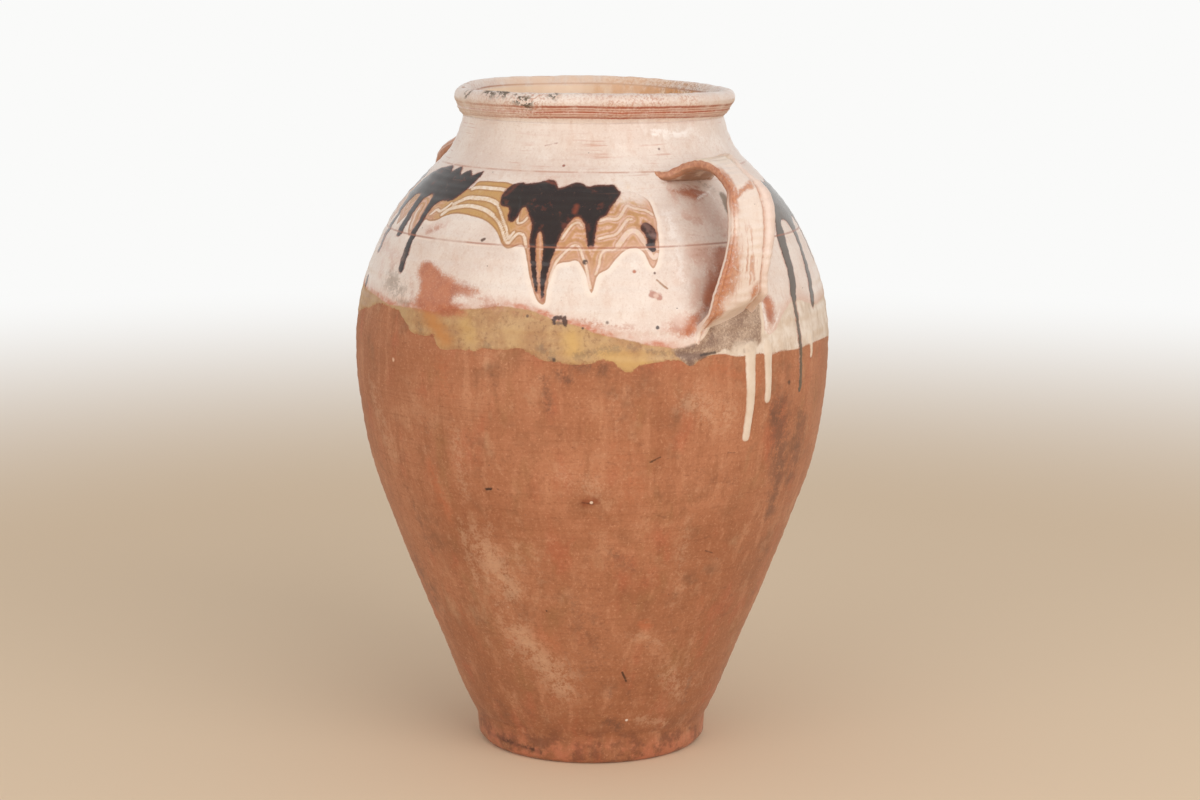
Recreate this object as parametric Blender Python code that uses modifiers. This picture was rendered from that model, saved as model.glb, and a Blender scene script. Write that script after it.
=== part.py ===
"""A confit pot: a large thrown earthenware jar with two strap handles, glazed inside and over its shoulders.

The clay wall is turned from one section. Each handle is a ribbed strap, lofted along its arch and cut to
seat on the shoulder. The outer glaze is a thin coat over rim, neck and shoulder, with a dipped lower edge
that has run in places. The inner glaze lines the jar from the lip to the floor. Metres, +Z up, the origin
at the middle of the foot, and the handles on the X axis.
"""

import math

import bmesh
import bpy
from mathutils import Vector

# The clay wall
HEIGHT = 0.452  # foot to the crest of the rim
BELLY_RADIUS = 0.161
BELLY_HEIGHT = 0.276
FOOT_RADIUS = 0.079
FOOT_HEIGHT = 0.020
FOOT_STEP = 0.002  # how far the wall swells out over the foot
FOOT_EDGE_ROUND = 0.004
FOOT_RING_WIDTH = 0.022  # the flat ring that the jar stands on
FOOT_HOLLOW = 0.002  # how far the middle of the foot is dished
FOOT_HOLLOW_SHARE = 0.85  # where the dish reaches its depth, of the ring's inner radius
WALL_THICKNESS = 0.008
FLOOR_THICKNESS = 0.013
FLOOR_FILLET = 0.016
NECK_RADIUS = 0.0875
NECK_DROP = 0.027  # the neck's narrowest place, below the crest of the rim
LOWER_WALL_SHARES = ((0.08, 0.12), (0.20, 0.27), (0.36, 0.48), (0.54, 0.70), (0.71, 0.885), (0.87, 0.975))
UPPER_WALL_SHARES = ((0.27, 0.07), (0.45, 0.20), (0.63, 0.40), (0.78, 0.67), (0.88, 0.865), (0.95, 0.955))

# The rolled rim, its collar and the lip inside it
RIM_RADIUS = 0.0955
RIM_ROLL_RADIUS = 0.0062
RIM_ROLL_END = -55.0  # degrees below level at which the roll meets the collar
COLLAR_TOP_RADIUS = 0.0915
COLLAR_FOOT_RADIUS = 0.0897
COLLAR_DROP = 0.0205  # the collar's lower edge, below the crest
COLLAR_HEIGHT = 0.0065
LIP_RADIUS = 0.0775
LIP_DROP = 0.0055
LIP_ROUND = 0.0025
LIP_END = 105.0  # degrees at which the lip's round meets the crest

# The glaze coats
GLAZE_THICKNESS = 0.0008
GAP = 0.0003  # between pieces that touch
GLAZE_EDGE_RISE = 0.0232  # the mean height of the dipped edge, above the belly's widest place
GLAZE_EDGE_TILT = 0.0139  # the jar was dipped at a slant
GLAZE_EDGE_LOW_ANGLE = 19.0  # degrees round from the right handle to the lowest place
# The waves along the edge: their height, how many go round the jar, and the angle that the first starts from.
BROAD_WAVE, BROAD_WAVES, BROAD_WAVE_ANGLE = 0.0027, 3, 43.0
SHORT_WAVE, SHORT_WAVES, SHORT_WAVE_ANGLE = 0.0045, 8, -51.0
RUN_HALF_WIDTH = 0.0035
RUN_SQUARENESS = 6  # the power that gives a run its straight sides and blunt end
# Each run of glaze down the bare clay: degrees round from the right handle, and its length.
RUN_1_ANGLE, RUN_1_LENGTH = 4.6, 0.056
RUN_2_ANGLE, RUN_2_LENGTH = 9.8, 0.031
RUN_3_ANGLE, RUN_3_LENGTH = 22.6, 0.049
RUN_4_ANGLE, RUN_4_LENGTH = 118.0, 0.036
RUN_5_ANGLE, RUN_5_LENGTH = 208.0, 0.044
RUN_6_ANGLE, RUN_6_LENGTH = 215.0, 0.024

# The strap handles
STRAP_WIDTH = 0.030
STRAP_THICKNESS = 0.0098
FINGER_ROOM = 0.0245  # the clear gap behind the strap, half way down
UPPER_ROOT_SHARE = 0.82  # of the way from the belly up to the neck
LOWER_ROOT_SHARE = 0.14
# The strap's middle line: out from the wall towards its full reach, and up from the root, as shares.
STRAP_TOP_SHARES = (
    (-0.15, -0.034),
    (0.04, 0.006),
    (0.29, 0.085),
    (0.55, 0.105),
    (0.78, 0.036),
    (0.93, -0.113),
    (0.995, -0.31),
)
STRAP_FOOT_SHARES = ((1.00, 0.50), (0.80, 0.285), (0.52, 0.13), (0.02, 0.03), (-0.80, -0.04))
# How much wider the strap is on each side at its two roots, and where along it that begins and is complete.
STRAP_TOP_SPREAD = 0.004
STRAP_TOP_SPREAD_SHARES = (0.25, 0.06)
STRAP_FOOT_SPREAD = 0.019
STRAP_FOOT_SPREAD_SHARES = (0.70, 0.95)
STRAP_FOOT_THINNING_SHARE = 0.30  # what its thickness loses where it is pressed down
STRAP_WRAP_SHARE = 1.25  # how closely its two roots bend round the wall, over 1 so that their corners sink in
# Its section, as shares of its half width and half thickness.
GROOVE_DEPTH_SHARE = 0.24
GROOVE_PLACE_SHARE = 0.58
GROOVE_WIDTH_SHARE = 0.16
STRAP_INSIDE_SHARE = 0.85

# How finely the round forms are divided
TURN_STEPS = 40
OUTSIDE_STEPS = 2
INSIDE_STEPS = 1
ROLL_STEPS = 6
CORNER_STEPS = 3
LIP_STEPS = 2
RUN_STEPS = 7
STRAP_STEPS = 8
STRAP_STATIONS = 24
STRAP_FACE_POINTS = 10
STRAP_SHARP_ANGLE = 50.0  # degrees
QUARTER = 90.0  # degrees

CUTTER_OVERRUN = 0.010


def shade(name, colour, roughness):
    """A plain fired-clay or glaze material."""
    material = bpy.data.materials.new(name)
    material.use_nodes = True
    shader = material.node_tree.nodes["Principled BSDF"]
    shader.inputs["Base Color"].default_value = (*colour, 1.0)
    shader.inputs["Roughness"].default_value = roughness
    shader.inputs["Metallic"].default_value = 0.0
    material.diffuse_color = (*colour, 1.0)
    return material


def smooth_line(points, steps):
    """A Catmull-Rom curve through the points, with so many steps between neighbours."""
    ends = [points[0], *points, points[-1]]
    line = []
    for before, start, stop, after in zip(ends, ends[1:], ends[2:], ends[3:]):
        for step in range(steps):
            t = step / steps
            line.append(tuple(
                0.5 * (2 * b + (c - a) * t + (2 * a - 5 * b + 4 * c - d) * t * t + (3 * b - a - 3 * c + d) * t ** 3)
                for a, b, c, d in zip(before, start, stop, after)
            ))
    line.append(tuple(points[-1]))
    return line


def arc(centre, radius, start, stop, steps):
    """Points of an arc about a centre, from one angle in degrees to another."""
    angles = [math.radians(start + (stop - start) * i / steps) for i in range(steps + 1)]
    return [(centre[0] + radius * math.cos(a), centre[1] + radius * math.sin(a)) for a in angles]


def body_line(steps):
    """The outer wall from the neck down to the top of the foot, as (radius, height)."""
    foot_top = FOOT_RADIUS + FOOT_STEP
    neck_height = HEIGHT - NECK_DROP
    points = [(NECK_RADIUS, neck_height)]
    for up, inward in reversed(UPPER_WALL_SHARES):
        height = BELLY_HEIGHT + up * (neck_height - BELLY_HEIGHT)
        points.append((BELLY_RADIUS - inward * (BELLY_RADIUS - NECK_RADIUS), height))
    points.append((BELLY_RADIUS, BELLY_HEIGHT))
    for up, out in reversed(LOWER_WALL_SHARES):
        height = FOOT_HEIGHT + up * (BELLY_HEIGHT - FOOT_HEIGHT)
        points.append((foot_top + out * (BELLY_RADIUS - foot_top), height))
    points.append((foot_top, FOOT_HEIGHT))
    return smooth_line(points, steps)


def wall_radius(height):
    """The outer radius of the clay at a height between the foot and the neck."""
    line = body_line(OUTSIDE_STEPS)
    for (upper_radius, upper), (lower_radius, lower) in zip(line, line[1:]):
        if lower <= height <= upper:
            return lower_radius + (upper_radius - lower_radius) * (height - lower) / (upper - lower)
    return NECK_RADIUS


def offset(line, distance):
    """The line moved out of the clay by a distance, square to itself."""
    moved = []
    for i, (radius, height) in enumerate(line):
        before = Vector(line[max(i - 1, 0)])
        after = Vector(line[min(i + 1, len(line) - 1)])
        along = (after - before).normalized()
        moved.append((radius - distance * along.y, height + distance * along.x))
    return moved


def outer_line():
    """The outside of the clay from the crest of the rim down to the top of the foot."""
    roll_centre = (RIM_RADIUS - RIM_ROLL_RADIUS, HEIGHT - RIM_ROLL_RADIUS)
    roll = arc(roll_centre, RIM_ROLL_RADIUS, QUARTER, RIM_ROLL_END, ROLL_STEPS)
    collar_base = HEIGHT - COLLAR_DROP
    collar = [(COLLAR_TOP_RADIUS, collar_base + COLLAR_HEIGHT), (COLLAR_FOOT_RADIUS, collar_base)]
    return roll + collar + body_line(OUTSIDE_STEPS)


def inner_line():
    """The inside of the clay from the middle of the floor up to the crest of the rim."""
    lowest = FLOOR_THICKNESS + FLOOR_FILLET
    wall = offset(body_line(INSIDE_STEPS), -WALL_THICKNESS)
    wall = [point for point in reversed(wall) if point[1] > lowest]
    corner = (wall[0][0] - FLOOR_FILLET, lowest)
    floor = arc(corner, FLOOR_FILLET, -QUARTER, -QUARTER / 4, CORNER_STEPS)
    lip_base = HEIGHT - LIP_DROP - LIP_ROUND
    lip = arc((LIP_RADIUS + LIP_ROUND, lip_base), LIP_ROUND, 2 * QUARTER, LIP_END, LIP_STEPS)
    crest = (RIM_RADIUS - RIM_ROLL_RADIUS, HEIGHT)
    return [(0.0, FLOOR_THICKNESS), *floor, *wall, *lip, crest]


def foot_line():
    """The foot from its outer edge, round its corner, over the ring it stands on, to the dished middle."""
    corner = (FOOT_RADIUS - FOOT_EDGE_ROUND, FOOT_EDGE_ROUND)
    edge = arc(corner, FOOT_EDGE_ROUND, 0, -QUARTER, CORNER_STEPS)
    ring_inside = FOOT_RADIUS - FOOT_EDGE_ROUND - FOOT_RING_WIDTH
    dished = (ring_inside * FOOT_HOLLOW_SHARE, FOOT_HOLLOW)
    return [(FOOT_RADIUS, FOOT_HEIGHT), *edge, (ring_inside, 0.0), dished, (0.0, FOOT_HOLLOW)]


def turned(name, line, collection, closed=False):
    """A shape turned about Z from a section that runs up its inner side and down its outer side."""
    mesh = bpy.data.meshes.new(name)
    edges = [(i, i + 1) for i in range(len(line) - 1)]
    if closed:
        edges.append((len(line) - 1, 0))
    mesh.from_pydata([(radius, 0.0, height) for radius, height in line], edges, [])
    thing = bpy.data.objects.new(name, mesh)
    collection.objects.link(thing)
    screw = thing.modifiers.new("Turn", "SCREW")
    screw.axis = "Z"
    screw.angle = math.tau
    screw.steps = TURN_STEPS
    screw.render_steps = TURN_STEPS
    screw.use_merge_vertices = True
    screw.merge_threshold = 0.00001
    screw.use_smooth_shade = True
    return thing


def strap_line():
    """The middle line of a strap in the XZ plane, from inside the upper wall to inside the lower wall."""
    neck_height = HEIGHT - NECK_DROP
    top = BELLY_HEIGHT + UPPER_ROOT_SHARE * (neck_height - BELLY_HEIGHT)
    foot = BELLY_HEIGHT + LOWER_ROOT_SHARE * (neck_height - BELLY_HEIGHT)
    reach = wall_radius((top + foot) / 2) + FINGER_ROOM + STRAP_THICKNESS / 2
    points = []
    for root, shares in ((top, STRAP_TOP_SHARES), (foot, STRAP_FOOT_SHARES)):
        wall = wall_radius(root)
        for out, up in shares:
            points.append((wall + out * (reach - wall), root + up * (top - foot)))
    return smooth_line(points, STRAP_STEPS)


def even_stations(line, count):
    """So many points of a line, evenly spaced along it, each with its share of the length."""
    lengths = [0.0]
    for start, stop in zip(line, line[1:]):
        lengths.append(lengths[-1] + math.dist(start, stop))
    stations = []
    for i in range(count):
        share = i / (count - 1)
        wanted = share * lengths[-1]
        k = max(j for j in range(len(line) - 1) if lengths[j] <= wanted)
        t = (wanted - lengths[k]) / (lengths[k + 1] - lengths[k])
        stations.append((share, Vector(line[k]).lerp(Vector(line[k + 1]), min(t, 1.0))))
    return stations


def ease(ends, value):
    """A smooth step from 0 at the first end to 1 at the second."""
    t = min(max((value - ends[0]) / (ends[1] - ends[0]), 0.0), 1.0)
    return t * t * (3 - 2 * t)


def strap_section(share, grown):
    """One section of the strap as (across, out) points, at a share of the way along it.

    Its outer face has a broad middle rib between two grooves, and a bead along each edge.
    """
    pressed = ease(STRAP_FOOT_SPREAD_SHARES, share)
    spread = STRAP_TOP_SPREAD * ease(STRAP_TOP_SPREAD_SHARES, share) + STRAP_FOOT_SPREAD * pressed
    half_width = STRAP_WIDTH / 2 + spread + grown
    half_thickness = STRAP_THICKNESS / 2 * (1 - STRAP_FOOT_THINNING_SHARE * pressed) + grown
    across = [math.cos(math.pi * i / STRAP_FACE_POINTS) for i in range(STRAP_FACE_POINTS + 1)]
    section = []
    for place in across:
        from_groove = (abs(place) - GROOVE_PLACE_SHARE) / GROOVE_WIDTH_SHARE
        crown = (1 - abs(place) ** 3) ** 0.5 * (1 - GROOVE_DEPTH_SHARE * math.exp(-from_groove ** 2))
        section.append((place * half_width, crown * half_thickness))
    for place in reversed(across[1:-1]):
        crown = STRAP_INSIDE_SHARE * (1 - abs(place) ** 3) ** 0.5
        section.append((place * half_width, -crown * half_thickness))
    return section


def strap(name, side, collection, grown=0.0):
    """A strap lofted through its sections. Side is 1 for the handle on +X and -1 for the one on -X."""
    stations = even_stations(strap_line(), STRAP_STATIONS)
    shape = bmesh.new()
    rings = []
    for i, (share, place) in enumerate(stations):
        before = stations[max(i - 1, 0)][1]
        after = stations[min(i + 1, len(stations) - 1)][1]
        along = (after - before).normalized()
        out = Vector((-along.y, along.x))
        ring = []
        rooted = max(ease(STRAP_TOP_SPREAD_SHARES, share), ease(STRAP_FOOT_SPREAD_SHARES, share))
        bend = STRAP_WRAP_SHARE * rooted / (2 * wall_radius(place.y))
        for across, lift in strap_section(share, grown):
            radius, height = place + out * (lift - bend * across ** 2)
            ring.append(shape.verts.new((side * radius, side * across, height)))
        rings.append(ring)
    count = len(rings[0])
    for ring, following in zip(rings, rings[1:]):
        for j in range(count):
            k = (j + 1) % count
            shape.faces.new((ring[j], ring[k], following[k], following[j]))
    shape.faces.new(list(reversed(rings[0])))
    shape.faces.new(rings[-1])
    bmesh.ops.recalc_face_normals(shape, faces=shape.faces)
    mesh = bpy.data.meshes.new(name)
    shape.to_mesh(mesh)
    shape.free()
    mesh.shade_smooth()
    mesh.set_sharp_from_angle(angle=math.radians(STRAP_SHARP_ANGLE))
    thing = bpy.data.objects.new(name, mesh)
    collection.objects.link(thing)
    return thing


def cut(thing, cutter):
    """Takes the cutter's shape away from the thing."""
    boolean = thing.modifiers.new("Cut by " + cutter.name, "BOOLEAN")
    boolean.operation = "DIFFERENCE"
    boolean.solver = "EXACT"
    boolean.object = cutter
    cutter.hide_render = True
    cutter.display_type = "WIRE"


def glaze_runs():
    """The runs as (degrees round, length)."""
    return (
        (RUN_1_ANGLE, RUN_1_LENGTH),
        (RUN_2_ANGLE, RUN_2_LENGTH),
        (RUN_3_ANGLE, RUN_3_LENGTH),
        (RUN_4_ANGLE, RUN_4_LENGTH),
        (RUN_5_ANGLE, RUN_5_LENGTH),
        (RUN_6_ANGLE, RUN_6_LENGTH),
    )


def glaze_edge(angle):
    """The height of the glaze's lower edge at an angle in degrees: a slanted dip line, waves and runs."""
    around = math.radians(angle)
    height = BELLY_HEIGHT + GLAZE_EDGE_RISE
    height -= GLAZE_EDGE_TILT * math.cos(around - math.radians(GLAZE_EDGE_LOW_ANGLE))
    height += BROAD_WAVE * math.cos(BROAD_WAVES * around - math.radians(BROAD_WAVE_ANGLE))
    height += SHORT_WAVE * math.cos(SHORT_WAVES * around - math.radians(SHORT_WAVE_ANGLE))
    for middle, length in glaze_runs():
        away = (angle - middle + 180) % 360 - 180
        across = math.radians(away) * BELLY_RADIUS / RUN_HALF_WIDTH
        height -= length / (1 + across ** RUN_SQUARENESS)
    return height


def edge_angles():
    """Angles at which the glaze's edge is followed: evenly all round, and closely at each run."""
    pitch = 360 / TURN_STEPS
    angles = {round(pitch * (i + 0.5), 4) for i in range(TURN_STEPS)}
    run_width = math.degrees(RUN_HALF_WIDTH / BELLY_RADIUS)
    for middle, _length in glaze_runs():
        angles = {a for a in angles if abs((a - middle + 180) % 360 - 180) > 3 * run_width}
    for middle, _length in glaze_runs():
        for i in range(-RUN_STEPS, RUN_STEPS + 1):
            angles.add(round((middle + 2 * run_width * i / RUN_STEPS) % 360, 4))
    return sorted(angles)


def curtain(collection):
    """A ring round the lower jar whose top follows the glaze's edge. It cuts the coat to that edge."""
    inside = FOOT_RADIUS
    outside = BELLY_RADIUS + CUTTER_OVERRUN
    below = FOOT_HEIGHT
    shape = bmesh.new()
    rings = []
    for angle in edge_angles():
        around = math.radians(angle)
        top = glaze_edge(angle)
        corners = ((outside, top), (inside, top), (inside, below), (outside, below))
        rings.append([shape.verts.new((r * math.cos(around), r * math.sin(around), z)) for r, z in corners])
    for ring, following in zip(rings, rings[1:] + rings[:1]):
        for j in range(4):
            k = (j + 1) % 4
            shape.faces.new((ring[j], ring[k], following[k], following[j]))
    bmesh.ops.recalc_face_normals(shape, faces=shape.faces)
    mesh = bpy.data.meshes.new("glaze_edge_curtain")
    shape.to_mesh(mesh)
    shape.free()
    thing = bpy.data.objects.new("glaze_edge_curtain", mesh)
    collection.objects.link(thing)
    return thing


def build_outer_glaze(parts, cutters):
    """The coat over the outside, cut to its dipped edge and left open round the roots of the handles."""
    longest_run = max(length for _middle, length in glaze_runs())
    waves = GLAZE_EDGE_TILT + BROAD_WAVE + SHORT_WAVE
    lowest = BELLY_HEIGHT + GLAZE_EDGE_RISE - waves - longest_run - CUTTER_OVERRUN
    clay = [point for point in outer_line() if point[1] > lowest]
    far = offset(clay, GAP + GLAZE_THICKNESS)
    near = offset(clay, GAP)
    far[0] = (far[0][0] + GAP / 2, far[0][1])
    near[0] = (near[0][0] + GAP / 2, near[0][1])
    coat = turned("outer_glaze", far + list(reversed(near)), parts, closed=True)
    cut(coat, curtain(cutters))
    for word, side in (("right", 1), ("left", -1)):
        cut(coat, strap("handle_clearance_" + word, side, cutters, grown=GAP))
    return coat


def build_inner_glaze(parts):
    """The lining, from the middle of the floor up to the crest of the rim."""
    clay = inner_line()
    far = offset(clay, GAP + GLAZE_THICKNESS)
    near = offset(clay, GAP)
    far[0] = (0.0, FLOOR_THICKNESS + GAP + GLAZE_THICKNESS)
    near[0] = (0.0, FLOOR_THICKNESS + GAP)
    crest = RIM_RADIUS - RIM_ROLL_RADIUS
    far[-1] = (crest - GAP / 2, HEIGHT + GAP + GLAZE_THICKNESS)
    near[-1] = (crest - GAP / 2, HEIGHT + GAP)
    return turned("inner_glaze", far + list(reversed(near)), parts)


def build_handles(parts, cutters):
    """Both straps, each cut to seat on the shoulder."""
    clay = [point for point in body_line(OUTSIDE_STEPS) if point[1] > FOOT_HEIGHT + CUTTER_OVERRUN]
    seat_line = [(0.0, clay[0][1]), *offset(clay, GAP), (0.0, clay[-1][1])]
    seat = turned("handle_seat", seat_line, cutters)
    handles = []
    for word, side in (("right", 1), ("left", -1)):
        handle = strap("handle_" + word, side, parts)
        cut(handle, seat)
        handles.append(handle)
    return handles


def main():
    for thing in list(bpy.data.objects):
        bpy.data.objects.remove(thing)
    parts = bpy.data.collections.new("confit_pot")
    cutters = bpy.data.collections.new("cutters")
    for collection in (parts, cutters):
        bpy.context.scene.collection.children.link(collection)

    wall = turned("clay_wall", inner_line() + outer_line()[1:] + foot_line(), parts)
    wall.data.materials.append(shade("terracotta", (0.50, 0.21, 0.11), 0.85))

    glaze = build_outer_glaze(parts, cutters)
    glaze.data.materials.append(shade("white_slip_glaze", (0.74, 0.58, 0.49), 0.25))
    lining = build_inner_glaze(parts)
    lining.data.materials.append(shade("honey_glaze", (0.72, 0.45, 0.22), 0.22))
    strap_finish = shade("handle_glaze", (0.68, 0.47, 0.36), 0.30)
    for handle in build_handles(parts, cutters):
        handle.data.materials.append(strap_finish)


main()
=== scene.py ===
"""The looks of a confit pot: a thrown earthenware jar with strap handles, a poured glaze and a bare belly.

Tables of places on the wall are (degrees round the jar from the right handle, height in mm). Lengths are
in mm until a mesh is made, and colours are written as they look in daylight, from 0 to 255.
"""

import math

import bpy
import numpy as np
from mathutils import Matrix


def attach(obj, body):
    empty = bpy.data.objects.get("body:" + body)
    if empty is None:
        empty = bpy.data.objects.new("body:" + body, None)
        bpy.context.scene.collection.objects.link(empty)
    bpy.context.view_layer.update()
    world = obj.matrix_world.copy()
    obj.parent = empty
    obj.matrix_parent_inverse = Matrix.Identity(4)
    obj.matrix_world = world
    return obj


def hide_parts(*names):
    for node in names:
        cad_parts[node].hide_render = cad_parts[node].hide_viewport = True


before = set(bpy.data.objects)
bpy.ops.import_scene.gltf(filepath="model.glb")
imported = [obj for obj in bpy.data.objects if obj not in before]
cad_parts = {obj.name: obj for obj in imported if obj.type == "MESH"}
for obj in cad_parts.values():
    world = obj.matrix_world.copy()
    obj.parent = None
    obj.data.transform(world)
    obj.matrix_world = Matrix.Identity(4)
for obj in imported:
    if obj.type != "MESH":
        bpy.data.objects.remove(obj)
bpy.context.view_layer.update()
scene = bpy.context.scene
scene.view_settings.view_transform = "Standard"

# The camera stands a little above the jar and looks down on it from the right handle's left.
# Its lens and distance give the photograph's perspective.
CAMERA_TURN = math.radians(55.0)
CAMERA_TILT = math.radians(10.0)
CAMERA_ROLL = math.radians(0.24)
CAMERA_AWAY, CAMERA_ASIDE, CAMERA_HEIGHT = 1.793, 0.0052, 0.552

camera = bpy.data.objects.new("camera", bpy.data.cameras.new("camera"))
camera.data.lens = 79.5
camera.data.sensor_width = 36.0
camera.matrix_world = (
    Matrix.Rotation(CAMERA_TURN, 4, "Z")
    @ Matrix.Translation((CAMERA_ASIDE, -CAMERA_AWAY, CAMERA_HEIGHT))
    @ Matrix.Rotation(math.pi / 2 - CAMERA_TILT, 4, "X")
    @ Matrix.Rotation(CAMERA_ROLL, 4, "Z")
)
scene.collection.objects.link(camera)
scene.camera = camera


# The floor is a plain pale sheet, and the light is soft daylight from the camera's side and overhead.
# Two large soft boxes shape the jar, and the white surroundings show in its gloss.
def tone(red, green, blue):
    """A colour written from 0 to 255 as it looks, as the linear colour that a shader takes."""
    look = np.array([red, green, blue]) / 255.0
    linear = np.where(look <= 0.04045, look / 12.92, ((look + 0.055) / 1.055) ** 2.4)
    return (*(float(part) for part in linear), 1.0)


class Wire:
    """What a node gives, a number or a colour. Sums, differences and products of numbers are written as usual."""

    def __init__(self, recipe, socket):
        self.recipe, self.socket = recipe, socket

    def __add__(self, other):
        return self.recipe.math("ADD", self, other)

    def __sub__(self, other):
        return self.recipe.math("SUBTRACT", self, other)

    def __rsub__(self, other):
        return self.recipe.math("SUBTRACT", other, self)

    def __mul__(self, other):
        """A product. For masks it is where both of them are."""
        return self.recipe.math("MULTIPLY", self, other)

    def __or__(self, other):
        """The greater of two. For masks it is where either of them is."""
        return self.recipe.math("MAXIMUM", self, other)

    def __abs__(self):
        return self.recipe.math("ABSOLUTE", self)

    def step(self, low, high, bottom=0, top=1):
        """Smoothly from bottom where the number is low to top where it is high."""
        inputs = {0: self, 1: low, 2: high, 3: bottom, 4: top}
        return self.recipe.node("MapRange", inputs, interpolation_type="SMOOTHSTEP")

    def tint(self, *layers):
        """The colour with layers over it. Each is a mask, then red, green and blue or a colour from a node."""
        colour = self
        for mask, *look in layers:
            colour = self.recipe.mix(mask, colour, tuple(look) if len(look) == 3 else look[0])
        return colour


class Recipe:
    """Short words for building one node tree. Each makes a node and says what it gives."""

    def __init__(self, tree):
        self.tree = tree
        self.places = None

    def fill(self, node, inputs):
        """Fills a node's inputs, by name or number, with values or with what other nodes give."""
        for key, value in inputs.items():
            value = getattr(value, "socket", value)
            if isinstance(value, bpy.types.NodeSocket):
                self.tree.links.new(value, node.inputs[key])
            else:
                node.inputs[key].default_value = value

    def given(self, node):
        """All that a node gives, by name."""
        return {socket.name: Wire(self, socket) for socket in node.outputs}

    def node(self, kind, inputs, out=0, **settings):
        """What a new node gives by the name or number asked for, or all that it gives for None."""
        made = self.tree.nodes.new("ShaderNode" + kind)
        for name, value in settings.items():
            setattr(made, name, value)
        self.fill(made, inputs)
        return self.given(made) if out is None else Wire(self, made.outputs[out])

    def math(self, operation, a, b=0.0, clamp=False):
        return self.node("Math", {0: a, 1: b}, operation=operation, use_clamp=clamp)

    def mix(self, factor, a, b):
        """A colour between two, each from a node or written from 0 to 255."""
        a, b = (tone(*look) if isinstance(look, tuple) else look for look in (a, b))
        return self.node("Mix", {0: factor, 6: a, 7: b}, out=2, data_type="RGBA")

    def blend(self, factor, a, b):
        """A number between a and b."""
        return self.node("Mix", {0: factor, 2: a, 3: b}, data_type="FLOAT")

    def place(self):
        """The place on the piece, in metres."""
        if self.places is None:
            self.places = self.node("TexCoord", {}, out="Object")
        return self.places

    def level(self):
        """The height above the floor, in metres."""
        return self.node("SeparateXYZ", {0: self.place()}, out="Z")

    def noise(self, size, detail=3, rough=0.6, stretch=(1, 1, 1), shift=0):
        """Cloudy noise about 0.5 with features of a size in mm, drawn out along the axes by the stretch."""
        squeeze = tuple(1.0 / part for part in stretch)
        where = {0: self.place(), 1: squeeze, 2: (shift, shift, shift)}
        where = self.node("VectorMath", where, operation="MULTIPLY_ADD")
        inputs = {"Vector": where, "Scale": 1000.0 / size, "Detail": detail, "Roughness": rough}
        return self.node("TexNoise", inputs)

    def near(self, place, radius, soft, wander=0, size=4, to=None):
        """A mask with a soft, wandering edge round a place in mm, or round the straight line from it to another.

        A place is given as (degrees round, height, wall radius).
        """
        ends = []
        for turn, height, out in (place, to or place):
            spot = (out * math.cos(math.radians(turn)), out * math.sin(math.radians(turn)), height)
            ends.append(np.array(spot) / 1000.0)
        away = self.node("VectorMath", {0: self.place(), 1: tuple(ends[0])}, operation="SUBTRACT")
        if to:
            reach = ends[1] - ends[0]
            share = {0: away, 1: tuple(reach / (reach @ reach))}
            share = self.node("VectorMath", share, out="Value", operation="DOT_PRODUCT")
            share = self.math("MULTIPLY", share, 1.0, clamp=True)
            foot = self.node("VectorMath", {0: tuple(reach), 3: share}, operation="SCALE")
            away = self.node("VectorMath", {0: away, 1: foot}, operation="SUBTRACT")
        away = self.node("VectorMath", {0: away}, out="Value", operation="LENGTH") * 1000
        if wander:
            away = away + (self.noise(size, rough=0.5) - 0.5) * wander
        return away.step(radius + soft, radius - soft)

    def field(self, name):
        """A number that the piece's mesh carries at each point."""
        return self.node("Attribute", {}, out="Fac", attribute_name=name)

    def fields(self, *names):
        return [self.field(name) for name in names]

    def effect(self, group, **inputs):
        """All that one of the shared effects gives, with its own values."""
        made = self.tree.nodes.new("ShaderNodeGroup")
        made.node_tree = group
        self.fill(made, inputs)
        return self.given(made)

    def paint(self, shader, relief=None, **inputs):
        """Fills a shader's inputs by name, and its normal from a relief in mm."""
        self.fill(shader, {name.replace("_", " "): value for name, value in inputs.items()})
        if relief:
            bump = {"Strength": 1.0, "Distance": 0.001, "Height": relief}
            self.fill(shader, {"Normal": self.node("Bump", bump)})


def new_material(name):
    """An empty material: its recipe and its shader."""
    material = bpy.data.materials.new(name)
    material.use_nodes = True
    shader = material.node_tree.nodes["Principled BSDF"]
    return material, Recipe(material.node_tree), shader


floor_material, mixing, shader = new_material("pale_floor")
mixing.paint(shader, Base_Color=tone(232, 207, 176), Roughness=0.9, Specular_IOR_Level=0.2)
# Further back the floor turns into the pale surroundings for the camera, so that no edge shows.
far = mixing.node("VectorMath", {0: mixing.place()}, out="Value", operation="LENGTH")
far = far.step(0.75, 2.4) * mixing.node("LightPath", {}, out="Is Camera Ray")
haze = mixing.node("Emission", {"Color": tone(250, 250, 249), "Strength": 1})
floor_look = mixing.node("MixShader", {0: far, 1: shader.outputs[0], 2: haze})
mixing.fill(floor_material.node_tree.nodes["Material Output"], {"Surface": floor_look})
floor_mesh = bpy.data.meshes.new("floor")
floor_mesh.from_pydata([(-6, -6, 0), (6, -6, 0), (6, 6, 0), (-6, 6, 0)], [], [(0, 1, 2, 3)])
floor_mesh.materials.append(floor_material)
floor = bpy.data.objects.new("floor", floor_mesh)
scene.collection.objects.link(floor)

world = bpy.data.worlds.new("daylight")
scene.world = world
world.use_nodes = True
sky = world.node_tree
sky.nodes.clear()
mixing = Recipe(sky)
ray = mixing.node("LightPath", {}, out=None)
seen = ray["Is Camera Ray"] | ray["Is Glossy Ray"] | ray["Is Transmission Ray"]
lighting = mixing.node("Background", {"Color": tone(250, 250, 252), "Strength": 0.605})
backdrop = mixing.node("Background", {"Color": tone(250, 250, 249), "Strength": 1})
whole = mixing.node("MixShader", {0: seen, 1: lighting, 2: backdrop})
mixing.node("OutputWorld", {"Surface": whole}, out=None)


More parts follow.
